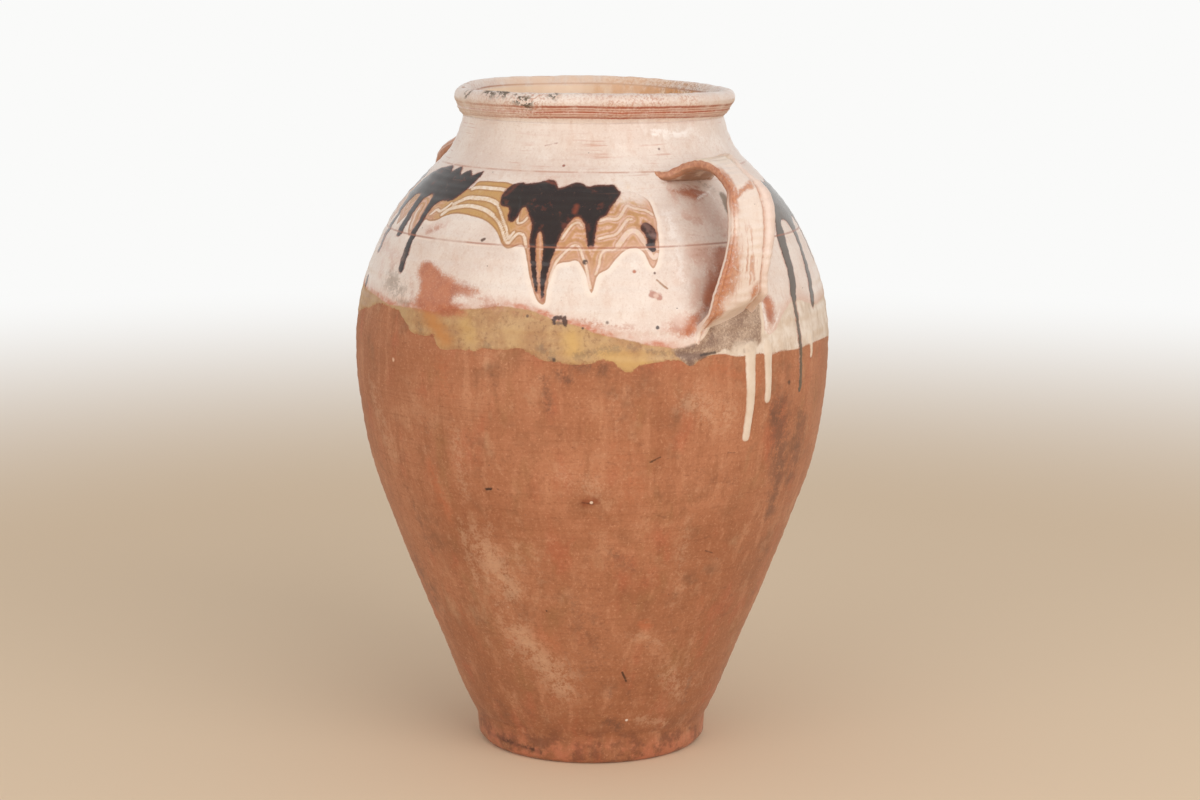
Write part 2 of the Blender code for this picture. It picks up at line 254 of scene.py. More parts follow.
# The lamps aim at the middle of the jar's belly, at a height in metres.
BELLY_HEIGHT = 0.24


def soft_box(name, turn, rise, away, size, power):
    """A square lamp at an angle round the jar and above it, in degrees, turned to the jar's belly."""
    lamp = bpy.data.lights.new(name, "AREA")
    lamp.size = size
    lamp.energy = power
    thing = bpy.data.objects.new(name, lamp)
    aim = Matrix.Translation((0, 0, BELLY_HEIGHT)) @ Matrix.Rotation(math.radians(turn), 4, "Z")
    thing.matrix_world = aim @ Matrix.Rotation(math.radians(90 - rise), 4, "X") @ Matrix.Translation((0, 0, away))
    scene.collection.objects.link(thing)


soft_box("window", turn=88, rise=24, away=2.3, size=1.9, power=24.5)
soft_box("room", turn=20, rise=14, away=2.6, size=2.0, power=17.5)


# The clay wall is thrown red earthenware, left bare from the glaze down to the foot. It is turned on a wheel
# in one piece, so faint rings run round it, and years of use have streaked, bleached and sooted it.
WALL = (
    (79, 11), (79.4, 15), (81.2, 20.5), (85.4, 29), (90.6, 40.5), (102.6, 71.2), (119.4, 112.2), (137, 158.2),
    (151.8, 201.8), (159, 242.7), (160.7, 262), (160.9, 276), (160.5, 290), (155.9, 316.2), (146.3, 343.1),
    (131.6, 369.9), (111.8, 392.2), (97.6, 407.1), (91.7, 417.6), (89.2, 424.6), (87.8, 429), (87.3, 432),
)
FOOT = ((0, 2.2), (30, 2.2), (42, 1.9), (49.5, 0.6), (53.5, 0.05), (62, 0), (73, 0.05), (76.4, 1.1), (78.4, 4))
WALL_TOP = 431.6
# The radius at which degrees round the shoulder are counted as mm, and the pitch of the throwing rings in mm.
SPREAD, RING_PITCH = 130.0, 11.0


def curve(points, steps):
    """A Catmull-Rom curve through rows of points, with so many steps between neighbours."""
    points = np.asarray(points, float)
    ends = np.concatenate([2 * points[:1] - points[1:2], points, 2 * points[-1:] - points[-2:-1]])
    a, b, c, d = ends[:-3, None], ends[1:-2, None], ends[2:-1, None], ends[3:, None]
    t = (np.arange(steps) / steps)[None, :, None]
    line = 0.5 * (2 * b + (c - a) * t + (2 * a - 5 * b + 4 * c - d) * t**2 + (3 * b - a - 3 * c + d) * t**3)
    return np.concatenate([line.reshape(-1, points.shape[1]), points[-1:]])


def along(line):
    """The length of a line up to each of its points."""
    return np.concatenate([[0.0], np.cumsum(np.linalg.norm(np.diff(line, axis=0), axis=1))])


def evenly(line, spacing):
    """The same line with its points about a spacing apart."""
    length = along(line)
    wanted = np.linspace(0.0, length[-1], max(int(round(length[-1] / spacing)), 1) + 1)
    return np.stack([np.interp(wanted, length, part) for part in line.T], axis=1)


def measured(line):
    """A line, the length up to each of its points, and its direction there."""
    return line, along(line), np.gradient(line, along(line), axis=0)


def all_round(columns):
    """Degrees round the whole jar, evenly, as a row."""
    return np.linspace(-180.0, 180.0, columns, endpoint=False)[None, :]


wall_line, wall_length, wall_slope = measured(curve(WALL, 24))


def up_wall(height):
    """The length along the wall from its foot up to a height."""
    return np.interp(height, wall_line[:, 1], wall_length)


def ripple(turn, rise, size, seed):
    """A smooth random wave about 0 and mostly within 1: eight sines that run in seeded directions on the wall."""
    chance = np.random.default_rng(seed)
    total = 0.0
    for _wave in range(8):
        angle, phase, scale = chance.uniform(0, math.tau), chance.uniform(0, math.tau), chance.uniform(0.6, 1.5)
        round_jar = np.round(math.cos(angle) * SPREAD * math.tau / (size * scale))
        up_jar = math.sin(angle) * math.tau / (size * scale)
        total = total + np.sin(np.radians(turn) * round_jar + rise * up_jar + phase)
    return total / 3.0


def throwing(turn, rise):
    """How far the potter's fingers left the wall in or out: rings of uneven spacing, and slow dents."""
    spiral = rise + turn / 360.0 * RING_PITCH
    rings = 0.16 * np.sin(spiral * math.tau / RING_PITCH) * (0.6 + 0.4 * np.sin(rise / 23.0 + np.radians(turn)))
    rings = rings + 0.1 * np.sin(rise * math.tau / 6.3 + 0.5 * np.sin(np.radians(turn) * 2))
    oval = 0.35 * np.cos(np.radians(2 * turn - 70.0)) + 0.2 * np.cos(np.radians(3 * turn + 40.0))
    return rings + oval - 0.4 + 0.22 * ripple(turn, rise, 70.0, 3)


def placed(radius, turn, height):
    """Points in mm at a radius, degrees round the jar's axis and a height."""
    angle = np.radians(turn)
    return np.stack(np.broadcast_arrays(radius * np.cos(angle), radius * np.sin(angle), height), axis=-1)


def on_wall(turn, rise, lift):
    """Points in mm on the wall at degrees round and a length up it, moved square to it by a lift."""
    radius = np.interp(rise, wall_length, wall_line[:, 0])
    height = np.interp(rise, wall_length, wall_line[:, 1])
    outward = np.interp(rise, wall_length, wall_slope[:, 1])
    upward = -np.interp(rise, wall_length, wall_slope[:, 0])
    lift = lift + throwing(turn, rise)
    return placed(radius + lift * outward, turn, height + lift * upward)


def around(turn, middle):
    """Degrees round the jar from a middle, between -180 and 180."""
    return (turn - middle + 180.0) % 360.0 - 180.0


def ease(value, low, high):
    """A smooth step from 0 at low to 1 at high."""
    share = np.clip((value - low) / (high - low), 0.0, 1.0)
    return share * share * (3.0 - 2.0 * share)


def hump(value, middle, width):
    """A bell over a number: 1 at the middle, and exp(-1) a width away from it."""
    return np.exp(-(((value - middle) / width) ** 2))


def laid_flat(turn, height, line, reach):
    """A line's corners in mm on the wall laid flat, the places within reach of its box, and which they are."""
    middle = line[:, 0].mean()
    corner = np.stack([np.radians(line[:, 0] - middle) * SPREAD, up_wall(line[:, 1])], axis=1)
    place = np.stack([np.radians(around(turn, middle)) * SPREAD, up_wall(height)], axis=-1)
    near = np.all((place > corner.min(axis=0) - reach) & (place < corner.max(axis=0) + reach), axis=-1)
    return corner, place[near], near


def to_side(spot, start, stop):
    """The distance from each spot to the straight side between two corners."""
    side = stop - start
    share = np.clip((spot - start) @ side / max(side @ side, 1e-9), 0.0, 1.0)
    return np.linalg.norm(spot - start - share[:, None] * side, axis=1)


def beside(turn, height, line, half_width, reach=12.0, steps=4):
    """How far inside a drawn line each place is, in mm: its half width less the distance to the line."""
    corner, spot, near = laid_flat(turn, height, curve(line, steps), reach)
    nearest = np.full(len(spot), reach)
    for start, stop in zip(corner[:-1], corner[1:]):
        nearest = np.minimum(nearest, to_side(spot, start, stop))
    depth = np.full(turn.shape, half_width - reach)
    depth[near] = half_width - nearest
    return depth


def smeared(turn, height, strokes):
    """How strongly a kind of stain lies at each place, from 0 to 1: the strongest of its soft-sided strokes.

    A stroke is degrees round and height at both ends, half width, softness and strength.
    """
    strongest = np.zeros(turn.shape)
    for start, start_up, stop, stop_up, half, soft, strength in strokes:
        line = [(start, start_up), (stop, stop_up)]
        depth = beside(turn, height, line, half, reach=half + soft + 2.0, steps=1)
        strongest = np.maximum(strongest, strength * ease(depth, -soft, soft))
    return strongest


def skin(name, rows, material, first_pole=False, last_pole=False, closed=False, fields=None):
    """A mesh over a grid of points in mm. Each row closes on itself, and rows run up an outer face.

    A pole draws the first or last row to one point, and a closed skin joins its last row to its first.
    Fields are numbers that the points carry, one grid for each name.
    """
    count, columns = rows.shape[:2]
    points = rows.reshape(-1, 3)
    index = np.arange(count * columns).reshape(count, columns)
    if closed:
        index = np.concatenate([index, index[:1]])
    after = np.roll(index, -1, axis=1)
    quads = np.stack([index[:-1], after[:-1], after[1:], index[1:]], axis=-1).reshape(-1, 4)
    fans = []
    values = {label: grid.reshape(-1) for label, grid in (fields or {}).items()}
    for wanted, row, backward in ((first_pole, 0, True), (last_pole, count - 1, False)):
        if wanted:
            tip = np.full(columns, len(points))
            points = np.concatenate([points, rows[row].mean(axis=0, keepdims=True)])
            pair = (index[row], after[row])
            fans.append(np.stack([tip, *(pair[::-1] if backward else pair)], axis=-1))
            values = {label: np.append(grid, grid[row * columns]) for label, grid in values.items()}
    mesh = bpy.data.meshes.new(name)
    mesh.from_pydata(points / 1000.0, [], [*quads.tolist(), *(fan for part in fans for fan in part.tolist())])
    mesh.shade_smooth()
    for label, grid in values.items():
        mesh.attributes.new(label, "FLOAT", "POINT").data.foreach_set("value", grid.astype(np.float32))
    mesh.materials.append(material)
    thing = bpy.data.objects.new(name, mesh)
    scene.collection.objects.link(thing)
    return thing


def new_effect(name, inputs, outputs):
    """An empty shader effect: its tree, its recipe and the inputs that it is given, each with its default."""
    tree = bpy.data.node_groups.new(name, "ShaderNodeTree")
    for label, value in inputs.items():
        tree.interface.new_socket(label, in_out="INPUT", socket_type="NodeSocketFloat").default_value = value
    for label, kind in outputs.items():
        tree.interface.new_socket(label, in_out="OUTPUT", socket_type="NodeSocket" + kind)
    recipe = Recipe(tree)
    return tree, recipe, recipe.given(tree.nodes.new("NodeGroupInput"))


def give(recipe, **results):
    """Closes an effect with its results."""
    recipe.fill(recipe.tree.nodes.new("NodeGroupOutput"), results)


# Round marks strewn at random: pinholes, grit and pops. Share is how many of the cells hold one.
strewn, mixing, given = new_effect("strewn_marks", {"Spacing": 8, "Share": 0.3, "Radius": 0.1}, {"Mask": "Float"})
warped = mixing.node("VectorMath", {0: mixing.noise(1.6, detail=1, rough=0.5), 3: 0.0012}, operation="SCALE")
where = mixing.node("VectorMath", {0: mixing.place(), 1: warped}, operation="ADD")
cell = {"Vector": where, "Scale": mixing.math("DIVIDE", 1000, given["Spacing"])}
cells = mixing.node("TexVoronoi", cell, out=None)
chance = mixing.node("SeparateColor", {0: cells["Color"]}, out=None)
holds = mixing.math("LESS_THAN", chance["Red"], given["Share"])
reach = given["Radius"] * (chance["Green"] + 0.45)
dot = cells["Distance"].step(reach, reach * 0.55)
give(mixing, Mask=holds * dot)

# Bare fired clay: red-brown, clouded, streaked downwards where it was wiped, and ringed where it was thrown.
# Its lower part is painted darker towards the foot, as painted shade.
fired_clay, mixing, given = new_effect(
    "fired_clay", {"Soot": 0.5}, {"Color": "Color", "Roughness": "Float", "Height": "Float"}
)
broad = mixing.noise(95, rough=0.55, shift=0.13)
cloud = mixing.noise(34, detail=5, rough=0.62)
streak = mixing.noise(9, stretch=(1, 1, 9), shift=0.31)
ring = mixing.noise(1.5, detail=2, stretch=(30, 30, 1))
grain = mixing.noise(1.9, detail=4, rough=0.8)
height = mixing.level()
colour = mixing.mix(broad.step(0.34, 0.66), (164, 103, 69), (184, 122, 87))
rosy = mixing.noise(26, stretch=(1, 1, 2.2), shift=0.77)
bloom = mixing.noise(22, detail=4, rough=0.65, stretch=(1, 1, 1.8), shift=0.52)
olive = mixing.noise(30, detail=4, stretch=(1, 1, 2), shift=0.91)
dusty = mixing.noise(15, detail=6, rough=0.72, stretch=(1, 1, 1.6), shift=0.41)
scuff = mixing.noise(5, detail=4, rough=0.7, stretch=(2.4, 2.4, 0.8), shift=0.19)
soot = mixing.noise(40, detail=5, rough=0.68, shift=0.63).step(0.55, 0.74) * given["Soot"]
grit = mixing.effect(strewn, Spacing=11, Share=0.3, Radius=0.055)["Mask"]
lime = mixing.effect(strewn, Spacing=19, Share=0.16, Radius=0.03)["Mask"]
colour = colour.tint(
    # Painted shade: darker towards the foot, below 0.21 m.
    (height.step(0.21, 0.03, top=0.62), 158, 101, 66),
    (cloud.step(0.53, 0.72, top=0.6), 148, 95, 62),
    (cloud.step(0.44, 0.28, top=0.55), 190, 137, 103),
    (streak.step(0.52, 0.72, top=0.5), 146, 90, 57),
    (streak.step(0.46, 0.3, top=0.42), 197, 139, 103),
    (rosy.step(0.54, 0.72, top=0.5), 181, 99, 68),
    (bloom.step(0.57, 0.76, top=0.4), 196, 156, 120),
    (olive.step(0.56, 0.74, top=0.4), 148, 108, 67),
    (ring.step(0.56, 0.7, top=0.22), 140, 84, 54),
    (dusty.step(0.55, 0.7, top=0.42), 204, 152, 116),
    (dusty.step(0.45, 0.3, top=0.42), 140, 84, 54),
    (scuff.step(0.6, 0.72, top=0.42), 122, 74, 48),
    (grain.step(0.53, 0.7, top=0.52), 132, 78, 50),
    (grain.step(0.47, 0.3, top=0.44), 216, 160, 124),
    (soot, 116, 80, 56),
    (grit * cloud.step(0.4, 0.6, bottom=0.25), 84, 52, 36),
    (lime * 0.85, 225, 200, 178),
)
rough = cloud.step(0.3, 0.7, bottom=0.86, top=0.72)
relief = grain * 0.1 + ring * 0.16
relief = relief + streak * 0.12
relief = relief - grit * 0.3
give(mixing, Color=colour, Roughness=rough, Height=relief)


clay_material, mixing, shader = new_material("bare_terracotta")
clay = mixing.effect(fired_clay, Soot=0.55)
colour, relief, rough = clay["Color"], clay["Height"], clay["Roughness"]


def add_marks(colour, marks):
    """Paints small marks on the wall over a colour.

    Each is degrees round and height, once or for both ends of a scratch, then half width, soft edge,
    raggedness, colour and strength.
    """
    for *where, radius, soft, wander, look, strength in marks:
        places = []
        for turn, height in zip(where[::2], where[1::2]):
            places.append((turn, height, float(np.interp(height, wall_line[:, 1], wall_line[:, 0])) - 0.4))
        to = places[1] if len(places) > 1 else None
        mask = colour.recipe.near(places[0], radius, soft, wander, size=max(min(radius, 7.0), 2.0), to=to)
        colour = colour.tint((mask * strength, *look))
    return colour


def add_stains(colour, stains):
    """Lays the stains that the mesh carries over a colour. Fine and middling noise breaks up their edges.

    Each is the stain's name, its strength and its colour.
    """
    fine = colour.recipe.noise(1.8, detail=4, rough=0.75, shift=0.66)
    middling = colour.recipe.noise(7, shift=0.71)
    broken = (fine - 0.5) * 2.4 + (middling - 0.5) * 2.2
    for name, strength, *look in stains:
        stain = colour.recipe.field(name)
        mask = stain * (stain + broken).step(0.05, 0.75)
        colour = colour.tint((mask * strength, *look))
    return colour


# Stains on the bare clay: degrees round and height at both ends, half width, softness and strength.
CLAY_STAINS = {
    "sooty": (
        (14.5, 250, 18.5, 204, 9, 11, 0.7), (18, 222, 20, 176, 7, 10, 0.7), (12, 247, 14, 240, 4, 4, 0.8),
        (25, 240, 26, 196, 8, 11, 0.6), (-45.5, 277, -44.6, 256, 2, 4, 0.75), (-42, 281, -40, 276, 3, 4, 0.75),
        (-40, 287, -33, 285, 5, 6, 0.6), (-58, 276, -56, 262, 1.5, 4, 0.45), (-90, 190, -88, 150, 4, 9, 0.5),
        (-104, 130, -100, 110, 14, 18, 0.55), (-34, 120, -35, 84, 4, 9, 0.4), (-44, 100, -43.5, 62, 2, 6, 0.4),
        (-28, 62, -26.5, 46, 2, 5, 0.55), (-20, 58, -18, 44, 2, 5, 0.5), (-28, 32, -22, 28, 5, 6, 0.65),
        (8, 60, 9, 40, 2.5, 5, 0.6), (-80, 40, -76, 28, 5, 8, 0.5), (-84, 60, -82, 34, 3, 8, 0.45),
        (-30, 160, -24, 150, 5, 8, 0.4), (-8, 210, 0, 206, 5, 8, 0.35), (-78, 262, -77, 226, 2, 7, 0.4),
        (-64, 250, -63, 214, 1.5, 6, 0.35), (-40, 124, -33, 76, 15, 22, 0.34),
        (100, 180, 108, 140, 14, 16, 0.6), (170, 240, 178, 190, 10, 14, 0.6),
    ),
    "dusty": (
        (-72, 176, -71.5, 128, 2.5, 6, 0.65), (-67.5, 172, -67, 134, 3.5, 7, 0.6),
        (-62.5, 176, -62, 140, 2, 6, 0.55), (-56, 168, -55.5, 146, 3, 7, 0.5),
        (-50, 160, -49.5, 136, 2, 6, 0.4), (-66, 118, -65, 78, 4, 8, 0.55), (-66, 158, -60, 130, 12, 14, 0.62),
        (-60, 96, -46, 62, 14, 15, 0.62), (-4, 66, 4, 50, 8, 11, 0.5), (-14, 34, 2, 26, 4, 6, 0.55),
        (-57, 108, -56.5, 70, 3, 8, 0.5), (-75, 112, -74, 72, 2, 6, 0.4), (-68.5, 236, -68, 196, 4, 8, 0.5),
        (-80, 250, -79, 214, 2, 6, 0.4), (-40, 212, -34, 206, 8, 10, 0.4), (-30, 268, -29, 244, 2, 6, 0.35),
        (-12, 262, -4, 250, 10, 12, 0.45), (-100, 256, -94, 216, 6, 10, 0.5), (-10, 180, -9, 120, 4, 9, 0.4),
        (2, 110, 3, 70, 3, 8, 0.4), (-20, 100, -10, 90, 6, 10, 0.45), (4, 60, 14, 52, 4, 8, 0.5),
        (60, 220, 66, 160, 10, 14, 0.5), (140, 130, 150, 90, 10, 14, 0.5),
    ),
    "ruddy": (
        (-78, 214, -75, 178, 4, 6, 0.8), (-18.5, 107, -16.5, 105, 4, 5, 0.9), (-52, 98, -48, 90, 8, 9, 0.6),
        (-72, 284, -70, 262, 5, 8, 0.5), (-6, 284, 6, 270, 6, 9, 0.5), (-86, 120, -80, 84, 5, 8, 0.45),
        (-28, 230, -24, 200, 7, 10, 0.4), (2, 120, 6, 80, 6, 9, 0.45),
    ),
}
CLAY_MARKS = (
    (-61.4, 201.4, -60.2, 202, 1, 0.7, 2, (48, 28, 20), 0.95),
    (-58.6, 202.2, -57.8, 202.2, 0.5, 0.4, 1.2, (66, 38, 26), 0.85),
    (-36.6, 195.6, -34, 197.2, 2.4, 2.2, 5, (138, 72, 42), 0.8),
    (-37.2, 196, -34.4, 195, 0.4, 0.5, 1.6, (84, 44, 28), 0.8),
    (-35, 196.1, 1, 0.4, 0.6, (232, 206, 182), 0.95),
    (-23.4, 71.1, -21.5, 64.1, 0.7, 0.4, 0.7, (58, 36, 24), 0.85),
    (-19.1, 33.2, 1, 0.4, 0.5, (234, 218, 202), 0.95),
    (-21.3, 222.6, -18.9, 225.8, 0.5, 0.5, 1.8, (70, 46, 32), 0.8),
    (-1.2, 224.9, 1, 224.2, 0.3, 0.4, 1.4, (86, 56, 40), 0.65),
    (-2.1, 156.9, 0.6, 154.6, 0.4, 0.4, 0.8, (84, 52, 38), 0.75), (17.7, 265.2, 1.5, 0.7, 1, (80, 58, 44), 0.8),
    (-88.7, 278.6, 1.3, 0.6, 0.6, (226, 186, 156), 0.85), (-61.9, 116.5, 0.7, 0.3, 0.4, (226, 196, 170), 0.8),
    (-100, 8.7, -84, 9.5, 1.2, 1, 2.4, (72, 44, 36), 0.75),
    (-84, 9.3, -61, 6.6, 1.5, 1.1, 3.4, (56, 36, 30), 0.85),
)
colour = add_stains(colour, (
    ("dusty", 0.85, 216, 174, 140), ("ruddy", 0.65, 190, 106, 68), ("sooty", 0.92, 98, 68, 54),
))
colour = add_marks(colour, CLAY_MARKS)
crease = mixing.field("crease").step(0.5, 1.2)
crease = crease * mixing.noise(7, rough=0.5, shift=0.21).step(0.4, 0.58)
foot_edge = mixing.field("rise").step(12, -4)
foot_edge = foot_edge * mixing.noise(16, detail=4, rough=0.65, shift=0.4).step(0.42, 0.58)
grubby = mixing.field("rise").step(26, 2) * mixing.noise(12, detail=5, rough=0.7, shift=0.83).step(0.47, 0.62)
colour = colour.tint((crease * 0.8, 66, 40, 32), (foot_edge * 0.55, 200, 122, 90), (grubby * 0.62, 114, 68, 48))
mixing.paint(
    shader, relief, Base_Color=colour, Roughness=rough, Specular_IOR_Level=0.35,
    Sheen_Weight=0.16, Sheen_Roughness=0.45, Sheen_Tint=tone(255, 232, 208),
)

CLAY_COLUMNS, CLAY_ROWS, BARE_HEIGHT = 420, 160, 330.0
turns = all_round(CLAY_COLUMNS)
bare_top = up_wall(BARE_HEIGHT)
rises = np.linspace(0.0, bare_top, CLAY_ROWS)[:, None]
# The fold over the foot: a shallow crease that wanders where the wall was trimmed down to the foot.
fold = 0.9 * hump(rises - 8.5, 1.6 * ripple(turns, 0.0, 90.0, 5), 2.2)
fold = fold * (0.55 + 0.45 * np.tanh(1.5 * ripple(turns, rises, 120.0, 8)))
outside = on_wall(turns, rises, -fold)
# The foot's own outline, then above the bare part a coarser wall under the glaze, over the rim and down inside.
foot = np.maximum(evenly(curve(FOOT, 12)[1:], 4.5), 0.0)
hidden = (
    (147.4, 333), (142, 344), (130.6, 364), (119, 379), (106.6, 391), (93.6, 406), (86.6, 417), (84.4, 425),
    (83.8, 432), (86.8, 438), (89, 442), (88.6, 443.6), (86.4, 443), (84, 439), (82, 433), (81.2, 424),
    (83.4, 417), (89.6, 407), (103.6, 392), (123, 370), (137.8, 343), (147.8, 316), (152.8, 276), (150.8, 243),
    (143.2, 202), (127.8, 158), (110, 112), (92.8, 71), (79.2, 40), (70, 22), (52, 12.4), (24, 12.4), (0.4, 12.4),
)


def turned(line, columns):
    """Rows of points in mm from a line of (radius, height), turned round the jar's axis."""
    line = np.asarray(line, float)[:, None, :]
    return placed(line[..., 0], columns, line[..., 1])


# The foot is a little out of round.
foot_rows = turned(foot, turns)
foot_rows[..., :2] *= 1.0 + 0.0016 * np.cos(np.radians(2 * turns[..., None] - 60.0))
body = np.concatenate([foot_rows, outside, turned(hidden, turns)])
bare_turns = np.broadcast_to(turns, outside.shape[:2])
bare_heights = np.broadcast_to(np.interp(rises, wall_length, wall_line[:, 1]), outside.shape[:2])
on_bare = {"rise": rises, "crease": fold}
on_bare |= {stain: smeared(bare_turns, bare_heights, strokes) for stain, strokes in CLAY_STAINS.items()}
clay_fields = {}
for label, values in on_bare.items():
    clay_fields[label] = np.full(body.shape[:2], -5.0 if label == "rise" else 0.0)
    clay_fields[label][len(foot_rows):len(foot_rows) + len(outside)] = values
clay_fields["rise"][:len(foot_rows)] = foot[:, 1:] - 11.0
clay_body = skin("clay_body", body, clay_material, first_pole=True, last_pole=True, fields=clay_fields)
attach(clay_body, "root")
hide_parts("clay_wall")


# The shoulder was dipped in white slip over the red clay, then glazed clear, and the two dips ended at
# different heights. Ochre, white and manganese-black were poured on in waves and splashes that ran down.
# The lower edge of the clear glaze, then that of the white slip.
GLAZE_END = (
    (-135, 297), (-127, 300.5), (-121, 299), (-116.6, 300.1), (-110, 304.5), (-104.8, 307.2), (-100.5, 311.2),
    (-95.8, 312.4), (-89.4, 310.9), (-85.9, 307.1), (-82.4, 299.3), (-78.5, 297.6), (-75, 298.6),
    (-73.4, 293.2), (-71.5, 290.8), (-68, 291.7), (-64.6, 291.5), (-62.2, 292), (-60.7, 294.3), (-57.5, 293.4),
    (-54.6, 294.4), (-51.6, 295.7), (-49.1, 292.3), (-46.6, 289.2), (-43.8, 288), (-41.3, 286.8),
    (-38.9, 286.4), (-35.5, 287), (-33.3, 288.9), (-30.2, 287.8), (-28.3, 282.4), (-26, 281.2), (-24, 285.4),
    (-20.4, 287.2), (-17.2, 287.9), (-14.7, 287.6), (-12.2, 284), (-10, 286.8), (-8.2, 289.2), (-4.1, 290),
    (-1.3, 288.3), (0.6, 287.3), (6, 287.5), (11.1, 286), (14.2, 286.7), (21.4, 286), (26.8, 286.8),
    (33.8, 286.9), (42.3, 285.9), (50, 284), (62, 287.5), (75, 290), (88, 297), (100, 301), (112, 303),
    (124, 306), (136, 304.5), (150, 309), (165, 312), (180, 312), (193, 311.5), (206, 313), (214, 306),
    (220, 298.5), (225, 297),
)
SLIP_END = (
    (-135, 323), (-124, 319.5), (-111.5, 317.5), (-102.7, 316.5), (-97.9, 315.1), (-93.4, 313.6),
    (-88.3, 313.8), (-83.9, 314.1), (-79.9, 314.3), (-75.2, 314.1), (-69.8, 316.8), (-65.5, 317.7),
    (-61.5, 319.1), (-57.6, 320.9), (-53.7, 320.5), (-49.9, 319.6), (-46.2, 316.7), (-44, 314.1),
    (-41.1, 312.4), (-37.3, 310.1), (-34.4, 306.5), (-30.5, 303.8), (-26.6, 301.5), (-22.7, 298.6),
    (-18.7, 297.2), (-15.5, 295.3), (-12.8, 294.3), (-10.2, 296.6), (-8.9, 299.6), (-6.9, 306.8), (-5.3, 314),
    (-2.3, 316.7), (2, 319), (6.6, 321.1), (7.9, 319), (8.4, 311), (9, 302.5), (10.5, 298.9), (12.8, 301.1),
    (15.5, 308.2), (20.1, 315.7), (24, 317), (30, 313), (36, 310), (42, 311.5), (50, 312), (65, 314), (80, 317),
    (90, 324), (100, 321), (115, 327), (128, 324), (140, 331), (155, 328), (170, 334), (185, 331), (200, 335),
    (212, 329), (225, 323),
)
# Runs of glaze down the bare clay: degrees round, height of the tip, half width at the top and at the tip.
RUNS = (
    (4.1, 231, 4.4, 2.9), (9.7, 254.5, 3.6, 2.5), (22.5, 258, 1.9, 1.5), (28.3, 277.7, 2.2, 1.5),
    (71, 272, 2.2, 1.8), (118, 268, 3.6, 2.6), (124.5, 288, 2.6, 1.8), (208, 266, 3.6, 2.6), (215, 284, 2.8, 2),
    (-128, 284, 2, 1.6),
)
RUN_TOP = 292.0

SPLASH_MAIN = (
    (-64.6, 384.8), (-64.7, 387.4), (-64.1, 389.8), (-63.3, 392.1), (-62, 393.4), (-59.5, 394.7),
    (-57.9, 394.1), (-55.2, 394.6), (-53.1, 395.5), (-51.1, 396.7), (-49.3, 397), (-47.8, 396.1),
    (-46.9, 393.9), (-46.3, 392.2), (-45.2, 392.5), (-43.2, 393.7), (-41.2, 395.2), (-39.7, 395.6),
    (-38.2, 394.9), (-37.1, 393.5), (-36, 393.1), (-34.3, 393.8), (-32.2, 394), (-30.1, 393.8), (-28.2, 394),
    (-27.4, 392.7), (-26.7, 390.8), (-26, 389.7), (-26.7, 387.1), (-28.1, 384.1), (-29.8, 380.5),
    (-30.5, 377.5), (-31.3, 376), (-32.6, 374.6), (-33.5, 372.7), (-33.8, 370.2), (-34, 367.2), (-34.4, 362.6),
    (-34.6, 358), (-35.5, 356.9), (-36.2, 358), (-36.5, 362.6), (-36.8, 367.1), (-37, 370.9), (-37.6, 373),
    (-38.5, 374.9), (-39.1, 375.6), (-40.2, 374.8), (-41.2, 373), (-42.1, 370), (-43, 366.9), (-43.6, 363.9),
    (-44.1, 360.8), (-44.6, 356.2), (-45.4, 350.1), (-45.9, 344), (-46.3, 337.1), (-46.5, 330.2),
    (-46.6, 325.2), (-46.9, 325.5), (-47.3, 330.9), (-47.7, 337), (-47.7, 343.9), (-47.7, 350), (-47.8, 356),
    (-48.1, 360.6), (-48.6, 364.3), (-49.1, 366.6), (-49.6, 366.2), (-50, 363.5), (-49.9, 358.9),
    (-49.6, 352.8), (-49, 344.6), (-48.4, 336.9), (-48, 330.8), (-48.4, 330.4), (-49.4, 336.1), (-50.2, 343.7),
    (-50.9, 351.2), (-51.5, 357.3), (-51.9, 363.3), (-51.9, 367.9), (-52.2, 371.6), (-53.6, 376),
    (-54.7, 379.3), (-55.7, 380.7), (-56.3, 379.1), (-56.6, 376.5), (-57, 374.2), (-57.6, 372.3),
    (-58.4, 371.1), (-59.4, 372.5), (-60, 375.4), (-60, 377.7), (-60.8, 379.8), (-61.9, 380.1), (-63.4, 380.7),
    (-64.2, 382.5),
)
